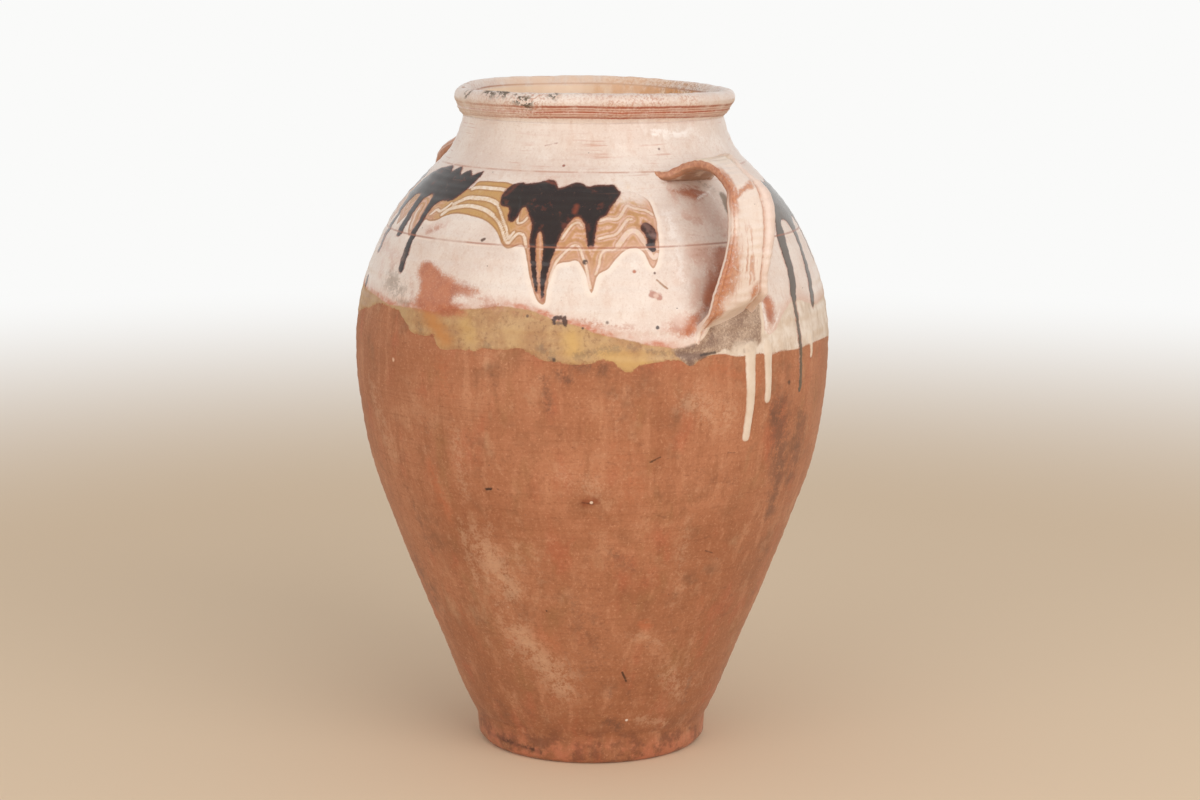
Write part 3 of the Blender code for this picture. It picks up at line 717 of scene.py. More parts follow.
SPLASH_LEFT = (
    (-113.9, 376.6), (-116.2, 379.1), (-116.4, 382), (-115, 386.5), (-113.7, 391), (-109.7, 395),
    (-105.9, 397.7), (-100.8, 399.9), (-97.9, 400.7), (-95.2, 397.4), (-94.1, 399), (-91.3, 401),
    (-88.2, 396.6), (-86.7, 398.4), (-84.2, 399.6), (-81.9, 396.7), (-80.3, 398), (-78.9, 398.9),
    (-77.5, 399.6), (-77.6, 395.9), (-78.4, 392.7), (-79.6, 389.1), (-81, 385.7), (-82.2, 383.2), (-83.9, 381),
    (-85, 380.3), (-87.5, 380.4), (-88.7, 379.1), (-89.7, 377.9), (-90.5, 374.8), (-90.5, 370.4),
    (-90.9, 365.1), (-91.1, 360.2), (-91.2, 354.9), (-90.9, 349.8), (-90.7, 344.6), (-90.5, 339.4),
    (-90.5, 335.3), (-91.2, 334.1), (-92.4, 335.2), (-92.9, 338.7), (-93.3, 344.3), (-93.5, 348.3),
    (-93.6, 354), (-93.8, 359.6), (-93.3, 363.8), (-93.1, 369.9), (-93.7, 375), (-93.8, 378.1), (-94.8, 382),
    (-96.5, 382.9), (-97.7, 380.6), (-98.6, 378.5), (-98.7, 375.6), (-98.7, 371.5), (-98.8, 367.5),
    (-98.9, 362.5), (-99, 358.4), (-100.1, 355.2), (-101.8, 355), (-102.5, 357.5), (-102.5, 362.5),
    (-102.2, 367.9), (-102.4, 372), (-102.9, 376.4), (-103, 380.5), (-105.5, 381.2), (-107, 379.3),
    (-108.3, 376.1), (-108.8, 373.5), (-108.8, 370.6), (-109.2, 367.2), (-109.5, 361.6), (-110.1, 356.4),
    (-110.7, 351.2), (-110.5, 346.2), (-110.3, 341.9), (-112.4, 341.9), (-113.4, 346.6), (-113.7, 351.7),
    (-113.5, 357.2), (-112.3, 363), (-112.1, 367.7), (-112.7, 371.4), (-113.7, 374.1),
)
SPLASH_RIGHT = (
    (20.5, 385), (20, 381), (23, 376), (26.5, 373), (28.4, 368.2), (24.6, 357.4), (23.5, 346), (23, 336.3),
    (22, 326.8), (21.2, 318.8), (21.7, 315.4), (22.8, 315.1), (23.7, 319.4), (25.4, 328.7), (26.7, 340.2),
    (28, 350.6), (29.8, 358.1), (31, 364.5), (33.5, 366), (36.2, 363.5), (37, 356.3), (36.3, 347.5),
    (34.8, 338), (33.4, 327.3), (31.9, 317), (31.8, 311), (33, 309.2), (34, 312), (35.1, 320.9), (36.7, 330.4),
    (37.8, 341.3), (39.6, 352), (42.5, 362), (46, 365.5), (47.4, 356), (46.9, 344.5), (47, 336), (47.9, 336.5),
    (48.4, 345), (49.2, 357), (51, 366), (54, 374), (57, 379), (56, 385), (51, 389), (46, 387.5), (41, 389.5),
    (34, 387), (27, 388),
)
SPOT = (
    (-21.6, 370.3), (-20.4, 372.1), (-19.3, 371.3), (-18.4, 369.7), (-17.8, 367.4), (-17.5, 365.1),
    (-17.9, 362.1), (-18.5, 359.1), (-18.3, 356), (-19.1, 354.3), (-19.9, 355.2), (-20.7, 357.1), (-21, 358.3),
    (-20.4, 360.7), (-20.6, 363.8), (-21.2, 365.9), (-21.8, 368),
)
DROP_LEFT = ((-114.7, 325.2), (-113, 325.5), (-112.2, 321.9), (-112, 318.6), (-113.6, 318.2), (-114.2, 321.2))
THIN_RUN = ((22.2, 316), (22.2, 307.1), (22.3, 290.1), (22.7, 271.8), (22.6, 258), (22.3, 249.1), (22.6, 240.5))
# The outline of the poured ochre waves: along the top from the left, and back along the running lower edge.
WAVES = (
    (-150, 379), (-143, 384), (-132, 383), (-120, 387), (-112, 388), (-100, 390), (-88, 389), (-80.5, 388.5),
    (-78.1, 389.7), (-77.7, 392), (-76.5, 393.7), (-73.3, 394.3), (-68.9, 394.3), (-65.3, 394.4), (-60, 392.5),
    (-50, 391), (-40, 390), (-30, 389), (-26, 389.5), (-24, 390.3), (-20.1, 388.4), (-17.4, 383.8),
    (-16.9, 375.6), (-16.7, 372.6), (-17, 368.9), (-17.1, 363.6), (-17.4, 357.5), (-17.6, 354.5),
    (-18.2, 350.7), (-18.8, 347), (-19.7, 344.7), (-20.6, 347.1), (-21.2, 351.3), (-21.8, 354.3),
    (-23.1, 356.7), (-24.4, 357.1), (-25.8, 356.4), (-27.2, 354.6), (-28.6, 351.6), (-29.9, 348.2),
    (-31.2, 344.5), (-32.5, 343), (-33.6, 341.1), (-34.2, 337.6), (-34.7, 332.2), (-35.1, 330.3),
    (-35.6, 332.2), (-36.1, 337.6), (-36.7, 342.2), (-37.5, 345.9), (-38.4, 348.9), (-39.5, 349.8),
    (-40.8, 348.8), (-42.4, 348.4), (-43.8, 347.2), (-44.6, 344.1), (-45.3, 339.5), (-45.7, 334.5),
    (-45.9, 329.4), (-46, 324.8), (-46.6, 322.8), (-47.8, 324.7), (-48.7, 328.4), (-49.7, 334.5),
    (-50.6, 340.6), (-51.3, 345.9), (-52, 351.1), (-52.7, 355.6), (-53.5, 358), (-54.7, 357.9), (-56, 356.5),
    (-57.2, 355.6), (-58.1, 356), (-59.2, 357.6), (-60.6, 361.7), (-62.3, 365.9), (-64.9, 369.6),
    (-68.2, 372.2), (-72.2, 373.4), (-75.9, 374.1), (-79.4, 373.7), (-82.3, 371.6), (-84.5, 368.8),
    (-87.7, 367.6), (-90.5, 367.7), (-92.5, 362), (-94.5, 356.5), (-96.5, 361), (-98.5, 368), (-101, 371.5),
    (-103.5, 366), (-106, 361), (-108, 366), (-111, 371), (-114, 366.5), (-117, 360), (-119.5, 367),
    (-124, 371), (-129, 368), (-133, 361), (-137, 366), (-143, 371), (-150, 373),
)
# The white lines trailed through the waves: half width in mm, then their places.
WHITE_LINES = (
    (1.4, ((-77.7, 389), (-75.9, 390.1), (-72.6, 390.3), (-69.5, 390.2), (-65.9, 390.1), (-63.3, 389.4))),
    (
        1.5,
        (
            (-81.3, 379.2), (-79.6, 381.5), (-77.1, 383.7), (-74, 384), (-70.4, 384), (-67.2, 383.1),
            (-65.1, 381.5),
        ),
    ),
    (
        0.8,
        (
            (-65.1, 381.5), (-63, 377.4), (-61.2, 373), (-59.4, 368), (-58.4, 363.5), (-57.8, 361.4),
            (-57.3, 363.6), (-56.7, 365.6),
        ),
    ),
    (
        1.4,
        (
            (-83.9, 372.5), (-82.1, 375.9), (-79, 377.9), (-75.2, 379.1), (-71.6, 378.8), (-67.9, 377.4),
            (-65, 374.9),
        ),
    ),
    (
        0.9,
        (
            (-65, 374.9), (-62.5, 371.4), (-60.5, 366.7), (-59.1, 361.8), (-57.9, 358.8), (-57.1, 359.8),
            (-56.4, 362.9), (-55.4, 364.9), (-54, 364.3), (-53.2, 361.7), (-52.5, 357.2),
        ),
    ),
    (0.8, ((-43.2, 362.4), (-41.6, 368.1), (-40.2, 371.5), (-38.8, 372.3), (-37.9, 370.1))),
    (
        0.8,
        (
            (-45.4, 337.2), (-44.9, 342.6), (-44.1, 348.3), (-42.5, 353.4), (-41, 356.8), (-39.5, 358.9),
            (-38.3, 357.2), (-37.4, 352), (-36.5, 345.9), (-35.9, 338.3), (-35.4, 333),
        ),
    ),
    (
        1,
        (
            (-32.9, 373.2), (-30.8, 374.3), (-28.6, 373.9), (-27.3, 375.2), (-25.7, 379.6), (-24.6, 381.8),
            (-23.3, 380.6), (-21.5, 379.7), (-19.2, 378.8), (-17.6, 376.4),
        ),
    ),
    (0.9, ((-33.4, 362.6), (-31, 364), (-28.9, 365), (-27.4, 368), (-26, 371.9), (-24.8, 374), (-23.9, 373.7))),
    (0.7, ((-34.2, 341.4), (-33.4, 346.7), (-32.8, 353.1), (-31.6, 355.8), (-29.4, 356.1), (-28, 359.1))),
    (1.7, ((-28.3, 358.6), (-26.5, 363.6), (-25.2, 366.3), (-23.8, 367.1), (-22.5, 365.4), (-21.3, 360.8))),
    (1.2, ((-21.3, 360.8), (-20.4, 355.4), (-19.8, 352.3), (-19.1, 350.6), (-18.3, 353))),
    (0.8, ((-58.5, 386), (-57.5, 383.5), (-56.5, 372), (-55, 371.5), (-53.8, 374.5))),
    (1, ((-89, 371.5), (-87.5, 374.8), (-85.5, 374.2), (-84, 376.5), (-82.6, 379.5))),
    (1.1, ((-97.2, 374), (-96, 364), (-94.8, 361))),
    (1.5, ((-148, 377.5), (-140, 379), (-132, 374), (-124, 379.5), (-117.5, 377))),
)
RUST_PATCHES = (
    (
        (-83, 342), (-80.7, 344), (-77, 342), (-73.5, 337.5), (-69.5, 334), (-66, 331.5), (-63, 328.5),
        (-65.5, 326), (-69.5, 324.5), (-70, 321), (-67, 317.5), (-66, 314), (-70, 311.5), (-75.5, 311.5),
        (-81.5, 312.5), (-82, 319), (-81.5, 326), (-82, 331), (-84, 336),
    ),
    (
        (-14.6, 302), (-13.6, 308), (-12.6, 313.5), (-10.4, 317), (-8, 322.2), (-6.4, 331.2), (-4.6, 335.5),
        (-2.8, 344.6), (-1, 353.4), (3, 352), (0, 337), (-6.5, 320), (-11.5, 305),
    ),
    ((10.1, 323.5), (12.4, 321.2), (13, 314.8), (12.3, 309.2), (11.2, 304.6), (10.2, 309), (9.4, 317.6)),
    ((-7.6, 388.8), (-4.6, 390.4), (-2, 389.2), (0.4, 386.8), (0.6, 384), (-2.4, 383.2), (-4.2, 385.6)),
    ((146, 343), (151, 346), (156, 341), (158, 331), (153, 325), (147, 332)),
    ((98, 352), (104, 350), (106, 341), (101, 337), (96.5, 343)),
)


def inside(turn, height, outline, reach=12.0, steps=3):
    """How far inside a closed outline each place is, in mm and negative outside.

    It is the distance to the nearest side, with the sign of the even-odd rule, and stops at the reach.
    """
    outline = np.asarray(outline, float)
    outline = curve(np.concatenate([outline, outline[:1]]), steps)[:-1]
    corner, spot, near = laid_flat(turn, height, outline, reach)
    nearest = np.full(len(spot), reach)
    within = np.zeros(len(spot), bool)
    for start, stop in zip(corner, np.roll(corner, -1, axis=0)):
        nearest = np.minimum(nearest, to_side(spot, start, stop))
        crossed = (start[1] > spot[:, 1]) != (stop[1] > spot[:, 1])
        over, rise = stop - start
        rise = rise if abs(rise) > 1e-9 else 1e-9
        within ^= crossed & (spot[:, 0] < start[0] + (spot[:, 1] - start[1]) * over / rise)
    depth = np.full(turn.shape, -reach)
    depth[near] = np.where(within, nearest, -nearest)
    return depth


# Stains in the coat: rust where iron broke through, rosy where the slip is thin, sooty from the kiln, and
# bright where it is thick. Three of the bright strokes, round the neck, are a painted highlight. Each stroke is as
# on the clay.
COAT_STAINS = {
    "rusted": (
        (-5, 341, -3.8, 333, 2, 5.5, 0.75), (-4.4, 333, -7.6, 322.5, 2.6, 5.5, 0.85),
        (-4, 344, -1.5, 350, 2, 6, 0.5), (-8.4, 354.2, 0.5, 354.6, 0.5, 1.6, 0.6),
        (-8, 373.4, -2, 372.6, 0.7, 2.2, 0.55), (-9, 363.9, 3, 361.6, 0.4, 1.6, 0.5),
        (-9, 351.4, -1, 351.8, 0.4, 2, 0.6), (-8.6, 347.6, -2, 347.4, 0.4, 2.2, 0.6),
        (-10.6, 314, -12.6, 304.6, 2.6, 5, 1), (-13, 303.5, -16.6, 308.5, 2, 5.5, 0.75),
        (-1.6, 389.4, 3.2, 386.6, 2, 2.4, 1), (-4.4, 392.6, 2, 391, 0.8, 1.6, 0.8),
        (-11.5, 394.6, -4, 396.2, 1.4, 3, 0.6), (-9.6, 391, -5.6, 389, 1, 2.4, 0.6),
        (-37.5, 313.5, -33, 310.8, 2, 3, 0.65), (-31, 311, -26, 309, 1.4, 2.8, 0.6),
        (-86, 361.5, -82, 365, 1.6, 3.4, 0.75), (-62, 319.5, -57, 321.5, 1.6, 3, 0.8),
        (-66, 326, -57, 322, 1, 3.4, 0.7), (-54, 318, -46, 314, 0.8, 3, 0.55),
        (-86, 333, -83, 316, 1, 4.5, 0.6), (-8, 371.4, -3, 369.6, 0.5, 2.4, 0.55),
    ),
    "rosy": (
        (-113.5, 350.4, -94.9, 342.5, 6, 8, 0.6), (-7, 352, 2, 346, 8, 9, 0.95), (-4, 344, -6, 326, 6, 7, 0.8),
        (-7.5, 375, -3, 371, 3, 5, 0.85), (-8.8, 334, -10, 322, 4, 6, 0.8), (-13, 312, -17, 308, 6, 7, 0.8),
        (-9.2, 391, -8.5, 384, 3, 5, 0.9), (-3, 380, 5, 366, 10, 9, 0.55), (-38, 313, -22, 306, 3, 5, 0.6),
        (-99, 344, -96, 336, 4, 6, 0.75), (-104, 336, -102, 330, 4, 6, 0.7), (-86, 362, -80, 366, 4, 5, 0.6),
        (-68, 328, -56, 322, 4, 6, 0.55), (-72, 345, -62, 344, 5, 8, 0.35), (-52, 398, -40, 399.5, 1.6, 4, 0.6),
        (-30, 412, -10, 408, 2, 7, 0.35), (150, 345, 160, 336, 8, 9, 0.6), (92, 352, 106, 344, 8, 9, 0.6),
    ),
    "kiln": (
        (9.8, 384.8, 8.4, 374.8, 3.2, 1.4, 1), (-4, 398.6, 5.5, 398.2, 3.2, 3.6, 0.95),
        (3.6, 393.4, 7.5, 389.5, 2.6, 3.6, 0.6), (-95, 329, -89.5, 323, 8, 8, 0.65),
        (-90, 318, -85, 316, 2, 5, 0.7), (-46.5, 297, -44, 291, 2.6, 4.5, 0.8),
        (-38.5, 292, -29, 297, 2.2, 4.5, 0.75), (-27, 297, -17, 291.5, 1.6, 4.5, 0.7),
        (-60, 297, -59, 294, 3, 5, 0.55), (-80, 306, -79, 301, 2, 4, 0.6),
    ),
    "umber": (
        (-14.5, 291.8, -9, 289.4, 2.4, 3, 1), (-12.8, 289, -12.3, 285.6, 1.8, 2.4, 1),
        (-15, 294.6, -11, 295.2, 1, 2.4, 0.8), (-7.6, 298, -6.6, 306, 2.4, 4, 0.7),
    ),
    "bright": (
        (-0.8, 384.4, 5, 387.8, 0.9, 0.9, 1), (4.6, 388, 9.6, 390.8, 0.8, 0.9, 0.95),
        # The second stroke on the next line and the two on the line after it, round the neck, are a painted
        # highlight.
        (4.8, 387, 5.6, 383.4, 0.6, 0.8, 0.9), (-10, 426.6, 11, 426.8, 0.8, 1.4, 0.9),
        (-9.7, 424.2, 8.1, 423.8, 1.3, 1.8, 0.95), (-5.6, 422, 6.9, 422.3, 0.7, 1.6, 0.75),
        (-13, 376, -12.5, 332, 4, 9, 0.6), (10, 424, 30, 414, 5, 12, 0.6), (9.4, 318, 9.6, 301, 1, 1.2, 0.8),
        (15.6, 313, 11.2, 301, 0.9, 1.4, 0.7), (9.8, 301, 11.2, 300.6, 1, 1.2, 0.8),
    ),
}


# Where the borders start and end, at the back, and the wall's radius in mm at the borders and at the runs.
SEAM, BORDER_RADIUS, RUN_RADIUS = -135.0, 155.0, 159.0


def above(turn, rise, border):
    """How far above a border round the jar each place is, in mm, square to the border."""
    border = curve(border, 5)
    level = up_wall(border[:, 1])
    lean = np.gradient(level, np.radians(border[:, 0]) * BORDER_RADIUS)
    wrapped = (turn - SEAM) % 360.0 + SEAM
    over = rise - np.interp(wrapped, border[:, 0], level)
    return over / np.sqrt(1.0 + np.interp(wrapped, border[:, 0], lean) ** 2)


def in_runs(turn, height):
    """How far inside the runs each place is, in mm: tapering round-ended strips straight down the wall."""
    depth = np.full(turn.shape, -12.0)
    for middle, tip, top_half, tip_half in RUNS:
        share = np.clip((height - tip) / (RUN_TOP - tip), 0.0, 1.0)
        half = tip_half + (top_half - tip_half) * share**1.5
        sway = 0.5 * np.sin(height / 9.0 + middle)
        across = np.radians(around(turn, middle)) * RUN_RADIUS - sway
        below = np.minimum(height - tip - tip_half, 0.0)
        over = np.maximum(height - RUN_TOP, 0.0)
        depth = np.maximum(depth, half - np.hypot(across, np.hypot(below, over)))
    return depth


def moved(outline, by, mirror=False):
    """An outline carried round the jar by some degrees, and mirrored if asked."""
    outline = np.asarray(outline, float).copy()
    if mirror:
        outline[:, 0] = outline[:, 0].min() + outline[:, 0].max() - outline[:, 0]
    outline[:, 0] += by
    return outline


FRONT_PITCH, BACK_PITCH, GLAZE_ROWS, COAT_BACK_ROWS = 0.44, 0.78, 116, 12
shoulder_turns = np.concatenate([np.arange(SEAM, 65.0, FRONT_PITCH), np.arange(65.0, 224.6, BACK_PITCH)])
wall_top_rise = up_wall(WALL_TOP)
# The skin reaches a little below the glaze's edge and dips into the clay there. Its border drops at the runs,
# and slopes to them gently, so that its rows stay even.
DIP, RUN_REACH, BORDER_SLOPE = 5.0, 6.5, 1.5
lowest = np.interp(shoulder_turns, *np.array(GLAZE_END).T) - DIP
for run_turn, run_tip, _top_half, _tip_half in RUNS:
    by_run = np.abs(np.radians(around(shoulder_turns, run_turn))) * RUN_RADIUS < RUN_REACH
    lowest = np.where(by_run, np.minimum(lowest, run_tip - DIP), lowest)
apart = np.abs(np.radians(around(shoulder_turns[:, None], shoulder_turns[None, :]))) * RUN_RADIUS
border_rise = (up_wall(lowest)[None, :] + BORDER_SLOPE * apart).min(axis=1)
share = np.linspace(0.0, 1.0, GLAZE_ROWS)[:, None]
turns = np.broadcast_to(shoulder_turns, (GLAZE_ROWS, len(shoulder_turns)))
rises = border_rise + share * (wall_top_rise - border_rise)
heights = np.interp(rises, wall_length, wall_line[:, 1])


def deepest(measure, shapes):
    """How far inside any of some shapes each place of the coat is, in mm: the greatest of a measure of each."""
    return np.max([measure(turns, heights, *shape) for shape in shapes], axis=0)


# The numbers that the poured finish is painted from, each the distance in mm inside one of its shapes. The shapes
# in front come again at the back, mirrored and turned.
SECOND_WAVE_TURN = 157.0
second_wave = [(deg, up) for deg, up in WAVES if deg > -100.0] + [(-98.0, 366.0), (-100.0, 380.0)]
flip = min(deg for deg, _up in second_wave) + max(deg for deg, _up in second_wave) + SECOND_WAVE_TURN
lines = list(WHITE_LINES) + [(half, [(flip - deg, up) for deg, up in line]) for half, line in WHITE_LINES[:9]]
splashes = [
    SPLASH_MAIN, SPLASH_LEFT, SPLASH_RIGHT, SPOT, DROP_LEFT, moved(SPLASH_MAIN, 148.0, mirror=True),
    moved(SPLASH_LEFT, 247.0, mirror=True), moved(SPLASH_MAIN, -92.0),
]
SCORE_HEIGHT, HIGH_LINE_HEIGHT = 357.3, 401.3
score_level = SCORE_HEIGHT + 0.35 * np.cos(np.radians(turns + 60.0)) + 0.25 * np.sin(np.radians(3 * turns))
fields = {
    "glaze": above(turns, rises, GLAZE_END),
    "slip": above(turns, rises, SLIP_END),
    "run": in_runs(turns, heights),
    "dark": deepest(inside, [(outline,) for outline in splashes]),
    "waves": deepest(inside, [(WAVES,), (moved(second_wave, SECOND_WAVE_TURN, mirror=True),)]),
    "white": deepest(beside, [(line, half) for half, line in lines]),
    "rust": deepest(inside, [(outline,) for outline in RUST_PATCHES]),
    "scored": heights - score_level,
}
fields["dark"] = np.maximum(fields["dark"], beside(turns, heights, THIN_RUN, 1.45))
fields["edge"] = edge = np.maximum(fields["glaze"], fields["run"])
grey_zone = (
    (-16.8, 294.8), (-13.5, 296.2), (-10.6, 298.6), (-8.6, 303), (-7.3, 308), (-5.4, 313.5), (-2.8, 317.6),
    (0, 319.8), (3.6, 321.2), (7.2, 322), (8.6, 319), (8.5, 312), (8.3, 303), (7.6, 296), (6.2, 291.6),
    (3, 288.8), (-0.4, 290.6), (-3.4, 292.6), (-5.6, 290.6), (-9.8, 288.2), (-12.4, 283.6), (-14.8, 288.4),
)
fields["grey"] = inside(turns, heights, grey_zone)
for stain, strokes in COAT_STAINS.items():
    fields[stain] = smeared(turns, heights, strokes)
# The coat's thickness: thin where only the glaze is, thicker over the slip, and full in the runs and splashes.
slip_edge = fields["slip"] + 0.5 * ripple(turns, rises, 9.0, 12)
coat = -0.35 + 0.55 * ease(edge, -1.6, 0.6) + 0.24 * ease(slip_edge, -1.0, 1.2)
bead = np.clip(fields["run"] / 2.6, 0.0, 1.0)
coat = np.maximum(coat, np.where(fields["run"] > 0.0, 0.05 + 0.75 * np.sqrt(bead * (2.0 - bead)), -1.0))
coat = coat + 0.2 * ease(fields["dark"], -0.6, 0.9) + 0.1 * ease(fields["white"], -0.5, 0.7)
coat = coat - 0.22 * hump(fields["scored"], 0.0, 0.9) * ease(fields["slip"], 0.0, 4.0)
coat = coat - 0.16 * hump(heights, HIGH_LINE_HEIGHT, 0.8)
coat = coat + 0.55 * hump(fields["grey"], 0.2, 1.1) * ease(heights, 296.0, 301.0)
coat = coat + 0.05 * ripple(turns, rises, 16.0, 21) * ease(fields["slip"], 0.0, 3.0)
outer = on_wall(turns, rises, coat)
back_share = np.linspace(1.0, 0.0, COAT_BACK_ROWS)[:, None]
back_rises = border_rise + back_share * (wall_top_rise - border_rise)
inner = on_wall(np.broadcast_to(shoulder_turns, back_rises.shape), back_rises, -0.8)
fields["beige"] = ease(around(turns, -9.0), 0.0, 6.0) * ease(-around(turns, 74.0), 0.0, 8.0)
# How far the waves turn from ochre to beige, at degrees round the jar.
WAVE_HUES = (
    (-135, 0.8), (-92, 0.8), (-83, 0), (-62, 0), (-54, 0.4), (-45, 0.6), (-33, 0.85), (-16, 1), (57, 1), (85, 0.6),
    (100, 0.3), (112, 0.8),
)
fields["hue"] = np.interp((turns - SEAM) % 360.0 + SEAM, *np.array(WAVE_HUES).T)


def ragged(value, low, high, size=3.0, amount=1.0, top=1.0):
    """A smooth step over a distance in mm whose edge wanders by an amount in mm."""
    return (value + (value.recipe.noise(size) - 0.5) * (2.0 * amount)).step(low, high, top=top)


# White slip under clear glaze: milky and warm, thinner and pinker in patches, with pinholes and iron specks.
white_slip, mixing, given = new_effect("white_slip", {"Thin": 0}, {"Color": "Color", "Height": "Float"})
broad = mixing.noise(46, rough=0.55, shift=0.17)
cloud = mixing.noise(14, detail=5, stretch=(1, 1, 1.7))
fine = mixing.noise(2.6, detail=4, rough=0.65)
streak = mixing.noise(5, stretch=(1, 1, 7), shift=0.7)
colour = mixing.mix(broad.step(0.36, 0.64), (222, 202, 188), (232, 216, 203))
grain = mixing.noise(1.5, detail=4, rough=0.8, shift=0.35)
specks = mixing.effect(strewn, Spacing=3.4, Share=0.22, Radius=0.085)["Mask"]
specks = specks * cloud.step(0.38, 0.58, bottom=0.2)
pinholes = mixing.effect(strewn, Spacing=7.5, Share=0.24, Radius=0.055)["Mask"]
colour = colour.tint(
    (cloud.step(0.52, 0.74, top=0.6), 218, 188, 169),
    (cloud.step(0.46, 0.28, top=0.6), 236, 223, 212),
    (streak.step(0.52, 0.75, top=0.4), 209, 178, 157),
    (fine.step(0.52, 0.75, top=0.36), 204, 170, 148),
    (given["Thin"] * 0.85, 207, 161, 138),
    (grain.step(0.54, 0.7, top=0.42), 196, 160, 136),
    (grain.step(0.46, 0.3, top=0.5), 243, 231, 220),
    (specks * 0.6, 164, 112, 82),
    (pinholes * 0.8, 86, 58, 44),
)
give(mixing, Color=colour, Height=cloud * 0.12 + fine * 0.05 - pinholes * 0.12)


coat_material, mixing, shader = new_material("poured_glaze")
clay = mixing.effect(fired_clay, Soot=0.45)
edge, slip, run, dark, waves = mixing.fields("edge", "slip", "run", "dark", "waves")
white, rust, beige, grey, hue, scored = mixing.fields("white", "rust", "beige", "grey", "hue", "scored")
cloud = mixing.noise(12, detail=5, rough=0.62)
fine = mixing.noise(3, detail=4, rough=0.65, shift=0.4)
patch = mixing.noise(22, rough=0.55, shift=0.85)
drawn = mixing.noise(4, stretch=(1, 1, 8), shift=0.25)

# Clear glaze on the bare clay: olive in front, beige at the right handle where slip ran into it.
front = 1 - beige
worn_edge = (mixing.noise(7, detail=6, rough=0.75, shift=0.58) - 0.5) * (front * 9)
glazed = ragged(edge + worn_edge, -0.7, 0.7, size=3.4, amount=0.7)
olive = mixing.mix(patch.step(0.36, 0.62), (176, 132, 88), (190, 152, 106))
olive = olive.tint(
    (cloud.step(0.5, 0.7, top=0.6), 160, 110, 72),
    (cloud.step(0.44, 0.28, top=0.5), 198, 160, 108),
    (fine.step(0.52, 0.68, top=0.6), 142, 98, 66),
    (fine.step(0.46, 0.32, top=0.45), 206, 168, 116),
    (drawn.step(0.52, 0.72, top=0.3), 154, 110, 70),
)
olive = add_marks(olive, (
    (-39.7, 302, -39, 296, 5, 6, 8, (206, 164, 98), 0.85),
    (-31, 291, -24, 286, 6, 6, 8, (204, 162, 98), 0.8),
    (-77, 312, -71, 297, 4.5, 5, 8, (190, 126, 66), 0.85),
    (-66, 309, -64, 300, 4, 5, 7, (198, 156, 92), 0.6),
    (-53, 302, 7, 6, 10, (196, 158, 106), 0.6),
    (-87, 309, 9, 8, 9, (184, 150, 104), 0.7),
    (-103, 308, 9, 8, 9, (190, 156, 112), 0.7),
))
sandy = mixing.mix(cloud.step(0.36, 0.66), (212, 190, 168), (231, 216, 200))
sandy = sandy.tint((drawn.step(0.5, 0.72, top=0.5), 184, 158, 132))
olive = olive.tint((beige * fine.step(0.25, 0.5, bottom=0.8), sandy))
colour = clay["Color"].tint((glazed, olive))

# White slip, thin and pink in its last few mm, with a rusty fringe along its lower edge.
slipped = glazed * ragged(slip, -0.6, 0.6, size=3.4)
thin = ragged(slip, 9, 0, size=7, amount=4)
slip_look = mixing.effect(white_slip, Thin=thin * 0.6)
fringe = ragged(slip, 4.2, 1.2, size=5, amount=3.4) * slip.step(-1, 0.2)
fringe = fringe * patch.step(0.4, 0.58) * front
colour = colour.tint((slipped, slip_look["Color"]), (fringe * fine.step(0.36, 0.56, bottom=0.4), 196, 124, 94))

# A stained, speckled grey patch at the foot of the right handle, with a paler fringe along its lower edge.
speckled = mixing.noise(1.4, rough=0.8, shift=0.27)
stain = mixing.mix(cloud.step(0.34, 0.64), (144, 114, 94), (180, 152, 129))
level = mixing.level()
low_grey = level.step(0.3, 0.291) * mixing.near((2.5, 290, 160), 11, 3).step(0, 1)
low_grey = low_grey * cloud.step(0.34, 0.5, bottom=0.4)
stain = stain.tint(
    (speckled.step(0.5, 0.62, top=0.6), 116, 88, 72),
    (speckled.step(0.46, 0.36, top=0.55), 212, 188, 164),
    (low_grey * 0.9, 228, 210, 190),
)
colour = colour.tint((ragged(grey, -0.8, 1, size=4, amount=1.2, top=0.92), stain))
fold = abs(grey).step(1.5, 0.5) * level.step(0.296, 0.301)

# Rust-coloured patches, where the slip is worn or missing and iron broke through in a fine spray.
spray = mixing.noise(1.3, rough=0.7, shift=0.66)
rusty = (rust + (patch - 0.5) * 12 + (spray - 0.5) * 9).step(-2.4, 3.4)
rust_look = mixing.mix(cloud.step(0.36, 0.62), (164, 88, 56), (186, 110, 72))
rust_look = rust_look.tint((spray.step(0.5, 0.7, top=0.5), 210, 156, 122))
in_run = ragged(run, -0.6, 0.8, size=3, amount=0.4)
colour = colour.tint((rusty * 0.9, rust_look), (fold * 0.8, 232, 212, 190), (in_run * 0.6, 228, 208, 186))

# The poured waves: ochre at the left, peach in the middle, beige at the right, in bands that follow their edge.
poured = ragged(waves, -0.4, 0.4, size=3, amount=0.4)
wave_look = mixing.mix(hue.step(0.1, 0.5), (196, 152, 94), (202, 148, 108))
wander = (mixing.noise(10, rough=0.5, shift=0.55) - 0.5) * 3
nearest = mixing.math("MINIMUM", waves, 0 - white)
banded = mixing.math("SINE", (nearest + wander) * 1.7)
lean_band = banded.step(-0.2, -0.85) * hue
banded = banded.step(0.15, 0.85) * hue
low_part = ragged(waves, 8, 4) * hue
brown_edge = waves.step(1.5, 0.7) * cloud.step(0.34, 0.5, bottom=0.4)
wave_look = wave_look.tint(
    (hue.step(0.55, 0.95), 204, 158, 120),
    (cloud.step(0.5, 0.74, top=0.4), 182, 130, 86),
    (cloud.step(0.46, 0.28, top=0.45), 220, 184, 144),
    (lean_band * 0.7, 184, 138, 84),
    (banded * 0.8, 222, 184, 166),
    (fine.step(0.46, 0.66, top=0.65) * hue.step(0, 0.5, bottom=0.4), 180, 128, 90),
    (low_part * 0.5, 210, 164, 140),
    (brown_edge * hue.step(0.2, 0.8, 0.75, 0.5), 164, 116, 78),
)
pale_rim = waves.step(-4.4, -1.4) * waves.step(0.2, -0.4) * hue.step(0.1, 0.4)
